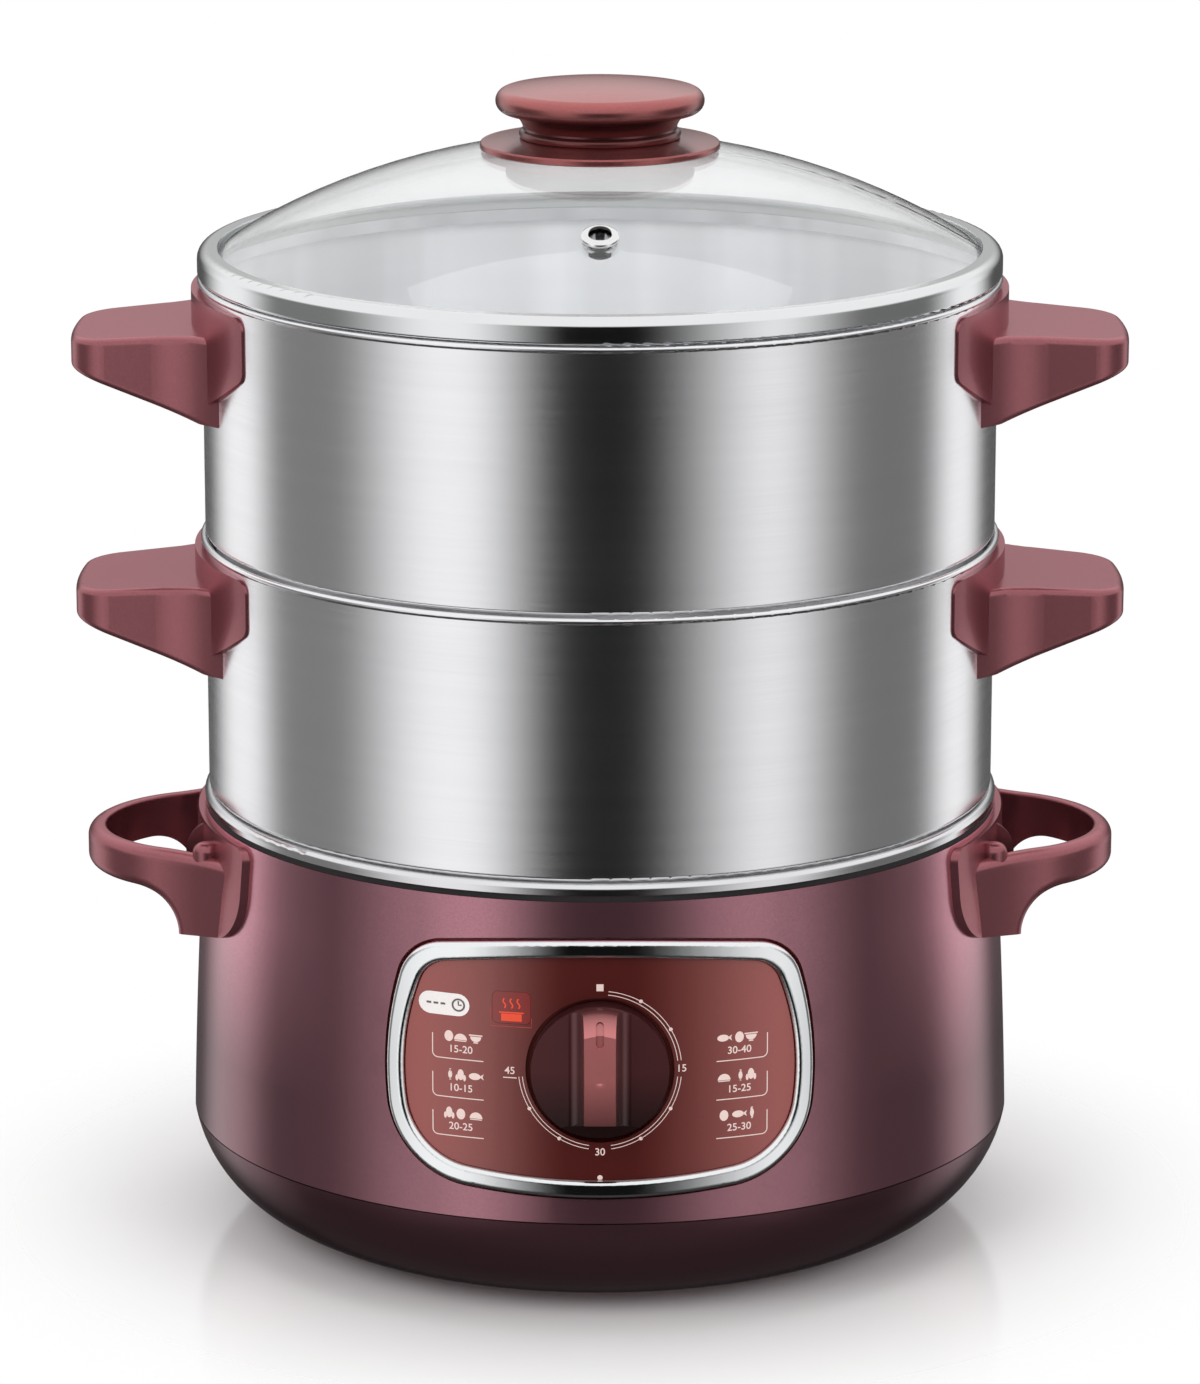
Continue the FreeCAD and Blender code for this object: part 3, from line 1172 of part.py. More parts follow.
def lid_gasket(glass):
    inside = rim_inside()
    inner = LID_STEP_RADIUS - 1.4
    floor = LID_BOTTOM + SHEET
    ring = turned(*inside, (LID_STEP_RADIUS, floor), (inner, floor + 0.6), (inner, inside[0][1]))
    return ring.cut(glass)


def vent_eyelet():
    """The riveted steel eyelet that lets steam out through the glass."""
    tube = VENT_BORE_RADIUS + VENT_TUBE_WALL
    top = GLASS_CROWN_RADIUS + VENT_SEAT
    low = GLASS_CROWN_RADIUS - GLASS - VENT_SEAT
    crest = top + VENT_FLANGE_THICKNESS
    eyelet = turned(
        (VENT_BORE_RADIUS, low - VENT_TUBE_DROP), (tube, low - VENT_TUBE_DROP), (tube, low - 1),
        (tube + 1.6, low - 1), (tube + 1.6, low), (tube, low), (tube, top),
        (VENT_FLANGE_RADIUS, top), ((VENT_FLANGE_RADIUS - 0.4, crest - 0.5), (tube + 0.6, crest)),
        ((VENT_BORE_RADIUS + 0.3, crest - 0.2), (VENT_BORE_RADIUS, crest - 1)),
    )
    return vent_placed(eyelet)


def knob_guard():
    """The round plate under the lid's knob; its underside follows the glass."""
    gap = GUARD_CLEARANCE
    edge = GUARD_RADIUS - 0.5
    low = crown(edge, gap)
    top = low[1] + GUARD_EDGE
    neck = KNOB_NECK_RADIUS
    seat = knob_seat()
    return turned(
        crown(KNOB_HOLE_RADIUS, gap), (crown(edge / 2, gap), low), (GUARD_RADIUS, low[1] + 0.5),
        (GUARD_RADIUS, top - 0.9), ((GUARD_RADIUS - 0.3, top - 0.2), (GUARD_RADIUS - 1.2, top)),
        (neck - 1, seat), (KNOB_HOLE_RADIUS, seat),
    )


def knob_seat():
    """The height of the flat that the lid's knob stands on."""
    return crown(KNOB_HOLE_RADIUS, GUARD_CLEARANCE)[1] + KNOB_SEAT_RISE


def lid_knob():
    """The lid's grip: a waisted knob with a domed top, hollow round a central boss."""
    seat = knob_seat()
    band = CROWN_TOP + KNOB_BAND_RISE
    top = CROWN_TOP + KNOB_TOP_RISE
    neck = KNOB_NECK_RADIUS
    wall = KNOB_WALL
    edge_start, edge_arc = bend((KNOB_RADIUS - KNOB_BAND_ROUND, band), KNOB_BAND_ROUND, -62, 76)
    form = turned(
        (0, seat), (neck + 0.5, seat), ((neck + 0.9, seat + 1.2), (neck + 0.4, seat + 2.4)),
        (neck - 0.5, seat + 2.9), (neck - 0.5, seat + 3.6), ((neck + 2.0, band - 5.2), edge_start),
        edge_arc, dome(*edge_arc[1], top),
    )
    cavity = turned(
        (KNOB_BOSS_RADIUS, seat), (neck - wall, seat), (neck - wall, seat + 4),
        (KNOB_RADIUS - 2 * wall, band - 1), (KNOB_RADIUS - 2.4 * wall, band + 1),
        (KNOB_BOSS_RADIUS, top - wall - 1.6),
    )
    insert = disc(INSERT_RADIUS, seat, seat + INSERT_LENGTH)
    return form.cut([cavity, insert])


def knob_insert():
    seat = knob_seat()
    ring = disc(INSERT_RADIUS, seat, seat + INSERT_LENGTH)
    return ring.cut(disc(KNOB_SCREW_RADIUS + THREAD_GAP, seat, seat + INSERT_LENGTH))


def under_glass(radius, above, thickness):
    """A washer below the crown of the glass, with so much stacked above it."""
    top = crown(KNOB_SEAL_RADIUS, -GLASS)[1] - above
    bore = disc(KNOB_SCREW_RADIUS + THREAD_GAP, top - thickness, top)
    return disc(radius, top - thickness, top).cut(bore)


def knob_screw():
    head_top = crown(KNOB_SEAL_RADIUS, -GLASS)[1] - KNOB_SEAL - KNOB_WASHER
    head = disc(KNOB_SCREW_HEAD_RADIUS, head_top - KNOB_SCREW_HEAD, head_top)
    low = [edge for edge in head.Edges if edge_middle(edge).z < head_top - KNOB_SCREW_HEAD * 0.9]
    head = head.makeFillet(KNOB_SCREW_HEAD * 0.6, low)
    return joined(head, disc(KNOB_SCREW_RADIUS, head_top, knob_seat() + INSERT_LENGTH * 0.8))


# ---------------------------------------------------------------- all pieces
def save_base():
    save("base_housing", base_housing())
    save("base_pan", base_pan())
    save("bottom_cover", bottom_cover())
    save("bottom_screws", *[spun(cover_screw(), angle) for angle in (0, 90, 180, 270)])
    save("feet", *[spun(foot(), angle) for angle in (45, 135, 225, 315)])
    right = base_handle()
    save("base_handle_right", right)
    save("base_handle_left", spun(right, 180))
    save("base_handle_screws", *base_screw_places(screw(BASE_SCREW_LENGTH)))
    save("water_tank", water_tank())
    save("tank_seal", tank_seal())
    tube = heater_tube()
    save("heater_tube", tube)
    save("heater_terminals", *heater_terminals())
    save("heating_plate", heating_plate(tube))
    save("tank_yoke", tank_yoke())
    save("yoke_nuts", *yoke_nuts())
    save("yoke_screws", *yoke_screws())
    save("thermostat", thermostat())
    save("thermal_fuse", thermal_fuse())
    save("control_panel", control_panel())
    save("panel_bezel", panel_bezel())
    save("indicator_lens", indicator_lens())
    save("indicator_lamp", indicator_lamp())
    save("timer_mechanism", timer_mechanism())
    save("timer_screws", *timer_screws())
    save("cord_gland", cord_gland())
    save("terminal_block", terminal_block())


def save_knob():
    save("timer_knob", timer_knob())
    save("timer_shaft", timer_shaft())


def save_lid():
    glass = lid_glass()
    rim = lid_rim()
    save("lid_glass", glass)
    save("lid_rim", rim)
    save("lid_gasket", lid_gasket(glass))
    save("vent_eyelet", vent_eyelet())
    save("knob_guard", knob_guard())
    save("lid_knob", lid_knob())
    save("knob_insert", knob_insert())
    save("knob_seal", under_glass(KNOB_SEAL_RADIUS, 0, KNOB_SEAL))
    save("knob_washer", under_glass(KNOB_WASHER_RADIUS, KNOB_SEAL, KNOB_WASHER))
    save("knob_screw", knob_screw())


os.makedirs("parts", exist_ok=True)
save_base()
save_knob()
save_tier("lower", LOWER_TIER_BOTTOM, LOWER_HANDLE_DROP)
save_tier("upper", UPPER_TIER_BOTTOM, UPPER_HANDLE_DROP)
save_lid()
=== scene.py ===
import bmesh
import bpy
import json
import math
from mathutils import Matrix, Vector
from mathutils.bvhtree import BVHTree

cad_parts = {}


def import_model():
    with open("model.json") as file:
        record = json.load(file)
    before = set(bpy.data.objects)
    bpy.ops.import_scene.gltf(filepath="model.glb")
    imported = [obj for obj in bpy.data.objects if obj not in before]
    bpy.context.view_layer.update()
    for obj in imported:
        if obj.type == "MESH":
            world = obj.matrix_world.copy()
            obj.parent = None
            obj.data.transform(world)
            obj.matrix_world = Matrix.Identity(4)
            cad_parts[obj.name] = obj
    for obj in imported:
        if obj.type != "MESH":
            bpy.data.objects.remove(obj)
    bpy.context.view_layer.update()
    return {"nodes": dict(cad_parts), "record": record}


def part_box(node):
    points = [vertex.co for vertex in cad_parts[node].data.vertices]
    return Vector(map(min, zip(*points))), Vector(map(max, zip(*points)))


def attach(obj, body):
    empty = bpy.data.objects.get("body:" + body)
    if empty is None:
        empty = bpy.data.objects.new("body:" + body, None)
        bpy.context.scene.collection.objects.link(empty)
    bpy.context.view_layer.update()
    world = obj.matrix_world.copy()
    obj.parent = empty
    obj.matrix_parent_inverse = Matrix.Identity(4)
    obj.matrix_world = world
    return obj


# The looks of the electric food steamer. Metres, in the frame of the packed
# model: +Z up, front towards -Y, the origin on the floor under the axis.
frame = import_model()

MM = 0.001
WHITE = (1.0, 1.0, 1.0, 1.0)

# Camera: where the photograph was taken from
CAMERA_PLACE = (0.0, -2.1239, 0.7269)
CAMERA_PITCH = math.radians(-14.208)
CAMERA_LENS = 159.2
CAMERA_SENSOR = 36.0

# Rolled edges of the steel: radii from the axis, the sheet and the rounds
TIER_WALL = 140.0 * MM
TIER_SHEET = 0.8 * MM
TIER_BEAD = 1.2 * MM
TIER_SPIGOT = 8.0 * MM
TIER_SHOULDER = 2.0 * MM
TANK_WALL = 137.1 * MM
TANK_RIM = 141.6 * MM
LID_WALL = 141.5 * MM
LID_BAND = 9.4 * MM
LID_TOP_ROUND = 3.6 * MM
LID_FOOT_ROUND = 1.4 * MM
# The steam vent's axis, and the radii from it over which its bore gets painted shade.
VENT_AXIS = (0.0, -95.0 * MM, 0.0)
VENT_SHADE_EDGE = (3.8 * MM, 4.0 * MM)

# Where a round's own normal takes over, as shares of its radius
ROUND_START = (0.84, 0.86)
ROUND_END = (1.14, 1.16)
ROUND_SIDE = 0.01

# Where a finish changes over its piece: from one height, depth or distance to another. All but the
# tier's skin mark where painted light or painted shade begins and ends.
BELLY = (0.070, 0.128)
KNOB_CROWN = (0.4000, 0.4060)
KNOB_FOOT = (0.3890, 0.3915)
DIAL_GRIP = (-0.1585, -0.1500)
DIAL_FOOT = (0.076, 0.094)
PANEL_FADE = (0.012, 0.062)
TIER_SKIN = (0.1394, 0.1398)

# Lacquer and steel
FLAKE_SCALE = 2600.0
FLAKE_DEPTH = 0.00002
CLOUD_SCALE = 14.0
COAT_SCALE = 260.0
COAT_DEPTH = 0.00003
BRUSH_DEPTH = 0.00001
TURNED_ANISOTROPY = 0.55
TIER_INSIDE_METAL = 0.25

# Print on the panel, in millimetres from the dial's axis
LABEL_OUTER = 57.0
LABEL_INNER = 39.6
LABEL_RISE = 8.4
LABEL_PITCH = 13.55
LABEL_LIFT = 1.5
LABEL_LINE = 0.35
LABEL_CORNER = 1.8
SYMBOL_RISE = 8.0
SYMBOL_PLACES = (51.4, 47.4, 42.2)
NUMBER_RISE = 3.4
NUMBER_HEIGHT = 2.5
NUMBER_RADIUS = 29.8
CAPITAL_SHARE = 0.7
DIGIT_SPREAD = 0.015
SCALE_RADIUS = 27.7
SCALE_LINES = (26.5, 27.7)
SCALE_LINE = 0.26
SCALE_ARCS = ((6, 84), (96, 172), (188, 264))
DOT_ANGLES = (30, 60, 120, 150, 210, 240)
DOT_RADIUS = 0.65
START_SQUARE = 2.4
INDEX_DROP = -37.6
INDEX_RADIUS = 0.9
BADGE_CENTRE = (-53.0, 20.4)
BADGE_SIZE = (17.4, 7.8)
LENS_MIDDLE = -30.0
POT_RISE = 17.6
STEAM_RISE = 22.4
LENS_CORNER = [(-37.0, 21.0), (-37.0, 14.4), (-23.2, 14.4), (-23.2, 17.5)]
PRINT_PROUD = 0.07

# How a print is cut into strips, and from where it is dropped onto the panel, in metres
STRIP = 2 * MM
STRIP_SPANS = (((1, 0, 0), -0.075, 0.075), ((0, 0, 1), 0.04, 0.15))
DROP_FROM = -0.25

# Screws under the base, in millimetres
SCREW_INSET = 3.6
CROSS_ARM = 1.9
CROSS_WIDTH = 0.38
CROSS_PROUD = 0.03
BOTTOM_SCREWS = 4

# Studio
AMBIENT = 0.85
FLOOR_SOLID_RADIUS = 0.14
FLOOR_RADIUS = 0.26
FLOOR_RINGS = 24
FLOOR_SIDES = 96
FLAG_DISTANCE = 3.0
FLAG_STEP = 2
FLAG_HEIGHTS = ((-2.8, 1.0), (0.0, 1.0), (0.7, 1.0), (1.3, 0.0))
BACK_FLAG_HEIGHTS = ((-2.8, 1.0), (0.0, 1.0), (0.35, 1.0), (1.5, 0.0))
# Each flag: name, azimuth of its middle, half its full width, its two soft edges, depth, heights
FLAGS = (
    ("flag_front", 0.0, 9.0, (30.0, 46.0), 1.0, FLAG_HEIGHTS),
    ("flag_left", -91.0, 10.0, (20.0, 36.0), 0.80, FLAG_HEIGHTS),
    ("flag_right", 91.0, 11.0, (36.0, 20.0), 0.84, FLAG_HEIGHTS),
    ("flag_back", 177.0, 29.0, (20.0, 24.0), 0.92, BACK_FLAG_HEIGHTS),
)
GROUND_LEVEL = -0.9
GROUND_SIDES = 48
GROUND_SHADES = ((0.0, 0.96), (1.0, 0.96), (1.35, 0.8), (1.7, 0.5), (2.1, 0.2), (2.6, 0.0))
LAMP_AIM = (0.0, 0.0, 0.2)
# Each lamp: name, place, size, power
LAMPS = (
    ("key_light", (-1.6, -1.9, 2.1), (1.8, 1.8), 26.0),
    ("fill_light", (1.9, -1.5, 1.7), (1.6, 1.6), 15.0),
    ("top_light", (0.0, 0.4, 2.6), (1.8, 1.8), 14.0),
)


# ---------------------------------------------------------------- node helpers
MIX_SOCKETS = {"VECTOR": (4, 5, 1), "RGBA": (6, 7, 2)}
UPRIGHT = {"up": (0.0, 0.0, 1.0), "down": (0.0, 0.0, -1.0)}


def fed(tree, socket, value):
    """Give a socket its value, as a constant or as a link."""
    if isinstance(value, bpy.types.NodeSocket):
        tree.links.new(value, socket)
    else:
        socket.default_value = value


def node(tree, kind, settings=None, **inputs):
    """A shader node, its sockets given by name as constants or as links."""
    made = tree.nodes.new("ShaderNode" + kind)
    for key, value in (settings or {}).items():
        setattr(made, key, value)
    for key, value in inputs.items():
        fed(tree, made.inputs[key.replace("_", " ")], value)
    return made


def principled(name, **sockets):
    """A new material with one Principled shader, whose constants go on its own sockets."""
    material = bpy.data.materials.new(name)
    material.use_nodes = True
    shader = material.node_tree.nodes["Principled BSDF"]
    for key, value in sockets.items():
        shader.inputs[key.replace("_", " ")].default_value = value
    return material, material.node_tree, shader


def surface_point(tree, scale=(1, 1, 1)):
    """The point on the piece, in metres, stretched along its axes."""
    place = node(tree, "TexCoord").outputs["Object"]
    return node(tree, "Mapping", Vector=place, Scale=scale).outputs["Vector"]


def noise(tree, scale, detail=2.0, stretch=(1, 1, 1)):
    place = surface_point(tree, stretch)
    return node(tree, "TexNoise", Vector=place, Scale=scale, Detail=detail).outputs["Fac"]


def cells(tree, scale, output="Distance"):
    return node(tree, "TexVoronoi", Vector=surface_point(tree), Scale=scale).outputs[output]


def ranged(tree, value, low, high, start=0.0, end=1.0):
    """A value that goes from low to high while the given one goes from start to end."""
    made = node(
        tree, "MapRange", Value=value, From_Min=start, From_Max=end, To_Min=low, To_Max=high
    )
    return made.outputs["Result"]


def maths(tree, operation, *values):
    made = node(tree, "Math", {"operation": operation})
    for socket, value in zip(made.inputs, values):
        fed(tree, socket, value)
    return made.outputs["Value"]


def times(tree, first, second):
    return maths(tree, "MULTIPLY", first, second)


def vector_math(tree, operation, *values, output="Vector"):
    made = node(tree, "VectorMath", {"operation": operation})
    for socket, value in zip(made.inputs, values):
        fed(tree, socket, value)
    return made.outputs[output]


def part_of(tree, axis, vector=None):
    """One coordinate of a vector, by default of the point on the piece."""
    return node(tree, "SeparateXYZ", Vector=vector or surface_point(tree)).outputs[axis]


def flattened(tree, vector):
    return vector_math(tree, "MULTIPLY", vector, (1.0, 1.0, 0.0))


def from_axis(tree, point):
    """How far a point is from the upright axis."""
    return vector_math(tree, "LENGTH", flattened(tree, point), output="Value")


def mixed(tree, kind, factor, first, second):
    """The first or the second by a factor; kind is RGBA for colours and VECTOR for vectors."""
    made = node(tree, "Mix", {"data_type": kind}, Factor=factor)
    first_socket, second_socket, result = MIX_SOCKETS[kind]
    fed(tree, made.inputs[first_socket], first)
    fed(tree, made.inputs[second_socket], second)
    return made.outputs[result]


def mixed_shaders(tree, factor, first, second):
    both = node(tree, "MixShader", Fac=factor)
    fed(tree, both.inputs[1], first)
    fed(tree, both.inputs[2], second)
    return both.outputs["Shader"]


def linked(tree, value, shader, socket):
    tree.links.new(value, shader.inputs[socket])


def shaded(tree, colour, factor):
    """The colour made lighter or darker by a factor near one."""
    return node(tree, "HueSaturation", Value=factor, Color=colour).outputs["Color"]


def reshaded(tree, shader, factor):
    """Make the colour that the shader already has lighter or darker."""
    tint = shader.inputs["Base Color"].links[0].from_socket
    linked(tree, shaded(tree, tint, factor), shader, "Base Color")


def bumped(tree, shader, height, depth, strength=1.0, socket="Normal", normal=None):
    made = node(tree, "Bump", Height=height, Distance=depth, Strength=strength)
    if normal:
        linked(tree, normal, made, "Normal")
    linked(tree, made.outputs["Normal"], shader, socket)


def rolled_normal(tree, edges):
    """The normal of a spun piece, true to the rounds of its rolled edges. Each round is given by
    the radius and height of the ring at its middle, its own radius and the directions it covers."""
    place = surface_point(tree)
    outward = vector_math(tree, "NORMALIZE", flattened(tree, place))
    normal = node(tree, "NewGeometry").outputs["Normal"]
    for ring_radius, height, size, directions in edges:
        core = vector_math(tree, "MULTIPLY_ADD", outward, (ring_radius,) * 3, (0.0, 0.0, height))
        away = vector_math(tree, "SUBTRACT", place, core)
        reach = vector_math(tree, "LENGTH", away, output="Value")
        begun = ranged(tree, reach, 0.0, 1.0, *(size * share for share in ROUND_START))
        ended = ranged(tree, reach, 1.0, 0.0, *(size * share for share in ROUND_END))
        share = times(tree, begun, ended)
        for direction in directions:
            way = UPRIGHT.get(direction, outward)
            along = vector_math(tree, "DOT_PRODUCT", away, way, output="Value")
            share = times(tree, share, ranged(tree, along, 0.0, 1.0, 0.0, size * ROUND_SIDE))
        normal = mixed(tree, "VECTOR", share, normal, vector_math(tree, "NORMALIZE", away))
    return normal


def colour(red, green, blue):
    """A linear colour from its display values, 0 to 255."""
    def straight(value):
        share = value / 255
        return share / 12.92 if share <= 0.04045 else ((share + 0.055) / 1.055) ** 2.4
    return (straight(red), straight(green), straight(blue), 1.0)


# ---------------------------------------------------------------- finishes
def lacquer(name, tint, metallic, roughness, coat, relief=0.12):
    """Moulded plastic under a metallic lacquer: fine flakes, a soft cloud and a clear coat."""
    material, tree, shader = principled(
        name, Metallic=metallic, Roughness=roughness,
        Coat_Weight=coat, Coat_Roughness=0.08, Coat_IOR=1.5
    )
    sparkle = ranged(tree, cells(tree, FLAKE_SCALE, "Color"), 0.90, 1.10)
    cloud = ranged(tree, noise(tree, CLOUD_SCALE), 0.95, 1.05)
    linked(tree, shaded(tree, tint, times(tree, sparkle, cloud)), shader, "Base Color")
    bumped(tree, shader, cells(tree, FLAKE_SCALE), FLAKE_DEPTH, relief)
    bumped(tree, shader, noise(tree, COAT_SCALE), COAT_DEPTH, 0.3, "Coat Normal")
    return material, tree, shader


def base_plum():
    """Metallic lacquer with painted shade towards the sides of the belly and low down, and a
    painted highlight on its upper edges, in place of the studio's reflections.
    """
    tint = colour(188, 130, 143)
    material, tree, shader = lacquer("base_plum_lacquer", tint, 0.94, 0.23, 0.22, relief=0.05)
    height = part_of(tree, "Z")
    # Painted shade where the belly turns from the view and below the belly line; painted highlight
    # on the upper edges.
    facing = node(tree, "LayerWeight", Blend=0.5).outputs["Facing"]
    painted_side_shade = ranged(tree, facing, 1.0, 0.64, 0.06, 0.13)
    low = ranged(tree, height, 1.0, 0.0, *BELLY)
    painted_low_edge_shade = times(tree, low, ranged(tree, facing, 0.0, 1.0, 0.06, 0.42))
    high = ranged(tree, height, 0.0, 1.0, *BELLY)
    painted_high_edge_light = times(tree, high, ranged(tree, facing, 0.0, 1.0, 0.28, 0.44))
    painted_falloff_shade = times(tree, painted_side_shade, ranged(tree, painted_low_edge_shade, 1.0, 0.72))
    reshaded(tree, shader, times(tree, painted_falloff_shade, ranged(tree, painted_high_edge_light, 1.0, 2.0)))
    return material


def handle_plum():
    """Plum lacquer with painted light on the faces that look up, and a pink sheen where it is seen
    at a low angle.
    """
    tint = colour(147, 89, 95)
    material, tree, shader = lacquer("handle_plum_lacquer", tint, 0.80, 0.27, 0.15)
    shader.inputs["Specular Tint"].default_value = colour(255, 222, 228)
    # Painted light: the colour is made lighter where the surface faces up.
    upward = part_of(tree, "Z", node(tree, "NewGeometry").outputs["Normal"])
    reshaded(tree, shader, ranged(tree, upward, 1.0, 1.42, 0.6, 0.95))
    return material


def knob_rose():
    """Rose lacquer with painted shade under the cap and painted light on its crown and its foot."""
    material, tree, shader = lacquer("knob_rose_lacquer", colour(178, 102, 101), 0.84, 0.26, 0.2)
    height = part_of(tree, "Z")
    # Painted light on the crown and the foot, painted shade under the cap between them.
    crown = ranged(tree, height, 0.30, 1.0, *KNOB_CROWN)
    foot = ranged(tree, height, 2.4, 1.0, *KNOB_FOOT)
    reshaded(tree, shader, times(tree, crown, foot))
    return material


def dial_plum():
    """The dial: one plastic in a shaded and a lit tone, painted shade on the disc and painted light
    on the grip, both with painted shade towards the foot.
    """
    material, tree, shader = principled(
        "dial_plum_lacquer", Metallic=0.60, Roughness=0.32,
        Coat_Weight=0.5, Coat_Roughness=0.06, Coat_IOR=1.5
    )
    # Painted shade on the disc and painted light on the raised grip: shaded and lit tones of one
    # plastic.
    share = ranged(tree, part_of(tree, "Y"), 1.0, 0.0, *DIAL_GRIP)
    tint = mixed(tree, "RGBA", share, colour(96, 46, 49), colour(220, 132, 132))
    # Painted shade towards the foot.
    foot = ranged(tree, part_of(tree, "Z"), 0.25, 0.85, *DIAL_FOOT)
    cloud = ranged(tree, noise(tree, 90.0), 0.95, 1.05)
    linked(tree, shaded(tree, tint, times(tree, cloud, foot)), shader, "Base Color")
    bumped(tree, shader, noise(tree, 1400.0), 0.00001, 0.15)
    return material


def panel_red():
    """Clear panel printed from behind, deep at the middle, with painted light towards the sides."""
    material, tree, shader = principled(
        "panel_red_gloss", Metallic=0.45, Roughness=0.30,
        Coat_Weight=1.0, Coat_Roughness=0.03, Coat_IOR=1.55
    )
    # Painted light: the red grows lighter towards the sides of the curved panel.
    away = maths(tree, "ABSOLUTE", part_of(tree, "X"))
    share = ranged(tree, away, 0.0, 1.0, *PANEL_FADE)
    tint = mixed(tree, "RGBA", share, colour(96, 34, 30), colour(150, 66, 60))
    grain = ranged(tree, noise(tree, 900.0, 3.0), 0.94, 1.06)
    linked(tree, shaded(tree, tint, grain), shader, "Base Color")
    bumped(tree, shader, noise(tree, 60.0), COAT_DEPTH, 0.2, "Coat Normal")
    return material


def steel(name, tone, roughness, lines, turned_tangent=False, edges=()):
    """Stainless steel with fine grinding lines that run round the wall, and its rolled edges."""
    material, tree, shader = principled(
        name, Metallic=1.0, Anisotropic=TURNED_ANISOTROPY if turned_tangent else 0.0
    )
    fine = noise(tree, 1.0, 4.0, (4, 4, lines))
    coarse = noise(tree, 1.0, 2.0, (9, 9, lines / 12))
    smear = noise(tree, 16.0, 3.0)
    linked(tree, shaded(tree, tone, ranged(tree, coarse, 0.965, 1.035)), shader, "Base Color")
    spread = times(tree, ranged(tree, fine, 0.80, 1.25), ranged(tree, smear, 0.90, 1.12))
    linked(tree, times(tree, spread, roughness), shader, "Roughness")
    normal = rolled_normal(tree, edges) if edges else None
    bumped(tree, shader, fine, BRUSH_DEPTH, 0.10, normal=normal)
    if turned_tangent:
        tangent = node(tree, "Tangent", {"direction_type": "RADIAL", "axis": "Z"})
        linked(tree, tangent.outputs["Tangent"], shader, "Tangent")
    return material, tree, shader


def heights(name):
    """The lowest and the highest point of a node of the frame."""
    levels = [corner[2] for corner in bpy.data.objects[name].bound_box]
    return min(levels), max(levels)


def tier_edges():
    """The rolled bead on top of each tier and the round shoulder under it."""
    edges = []
    for name in ("lower_tier", "upper_tier"):
        low, high = heights(name)
        shoulder = low + TIER_SPIGOT + TIER_SHOULDER
        edges.append((TIER_WALL - TIER_SHEET + TIER_BEAD, high - TIER_BEAD, TIER_BEAD, ()))
        edges.append((TIER_WALL - TIER_SHOULDER, shoulder, TIER_SHOULDER, ("out", "down")))
    return edges


def tier_steel():
    """Brushed outside and satin inside, which the finish tells by the distance from the axis."""
    material, tree, shader = steel(
        "tier_brushed_steel", colour(240, 240, 242), 0.17, 2600, True, tier_edges()
    )
    outside = ranged(tree, from_axis(tree, surface_point(tree)), 0.0, 1.0, *TIER_SKIN)
    linked(tree, ranged(tree, outside, TIER_INSIDE_METAL, 1.0), shader, "Metallic")
    streaks = ranged(tree, noise(tree, 1.0, 3.0, (26, 26, 0.5)), 0.80, 1.10, 0.34, 0.66)
    reshaded(tree, shader, ranged(tree, outside, streaks, 1.0))
    brushed = shader.inputs["Roughness"].links[0].from_socket
    linked(tree, times(tree, brushed, ranged(tree, outside, 2.4, 1.0)), shader, "Roughness")
    return material


def tank_steel():
    """Drawn steel; its rolled rim goes from the tank's wall out over the housing's shoulder."""
    high = heights("water_tank")[1]
    roll = (TANK_RIM - TANK_WALL) / 2
    edges = [(TANK_WALL + roll, high - roll, roll, ("up",))]
    return steel("tank_drawn_steel", colour(226, 226, 228), 0.16, 1400, edges=edges)[0]


def rim_steel():
    """The lid's band, rounded over at its top and under its foot."""
    high = heights("lid_rim")[1]
    foot = high - LID_BAND + LID_FOOT_ROUND
    edges = [
        (LID_WALL - LID_TOP_ROUND, high - LID_TOP_ROUND, LID_TOP_ROUND, ("out", "up")),
        (LID_WALL - LID_FOOT_ROUND, foot, LID_FOOT_ROUND, ("out", "down")),
    ]
    return steel("rim_polished_steel", colour(232, 233, 234), 0.12, 900, edges=edges)[0]


def polished_steel():
    """Bright all over but for the bore of the steam vent, which gets painted shade inside."""
    material, tree, shader = steel("polished_steel", colour(236, 236, 236), 0.08, 900)
    reach = from_axis(tree, vector_math(tree, "SUBTRACT", surface_point(tree), VENT_AXIS))
    # Painted shade inside the vent's bore.
    reshaded(tree, shader, ranged(tree, reach, 0.06, 1.0, *VENT_SHADE_EDGE))
    return material


def inner_steel():
    return steel("plain_steel", colour(190, 190, 192), 0.34, 500)[0]


def fastener_steel():
    return steel("zinc_plated_steel", colour(196, 198, 196), 0.30, 700)[0]


def bezel_chrome():
    material, tree, shader = principled("bezel_chrome_plate", Metallic=1.0)
    cloud = ranged(tree, noise(tree, 40.0), 0.98, 1.02)
    linked(tree, shaded(tree, colour(238, 240, 241), cloud), shader, "Base Color")
    linked(tree, ranged(tree, noise(tree, 220.0, 3.0), 0.05, 0.11), shader, "Roughness")
    return material


def lid_glass():
    """Clear tempered glass with a faint grey tint, a little handled and not quite flat. Shadow
    rays and diffuse rays pass straight through it."""
    material, tree, shader = principled(
        "tempered_glass", Base_Color=(0.975, 0.985, 0.985, 1.0), IOR=1.47, Transmission_Weight=1.0
    )
    linked(tree, ranged(tree, noise(tree, 26.0, 4.0), 0.0, 0.03, 0.35, 0.75), shader, "Roughness")
    bumped(tree, shader, noise(tree, 18.0, 1.0), 0.00008, 0.2)
    path = node(tree, "LightPath").outputs
    passing = maths(tree, "MAXIMUM", path["Is Shadow Ray"], path["Is Diffuse Ray"])
    clear = node(tree, "BsdfTransparent", Color=(0.95, 0.96, 0.96, 1.0)).outputs["BSDF"]
    both = mixed_shaders(tree, passing, shader.outputs["BSDF"], clear)
    linked(tree, both, tree.nodes["Material Output"], "Surface")
    return material


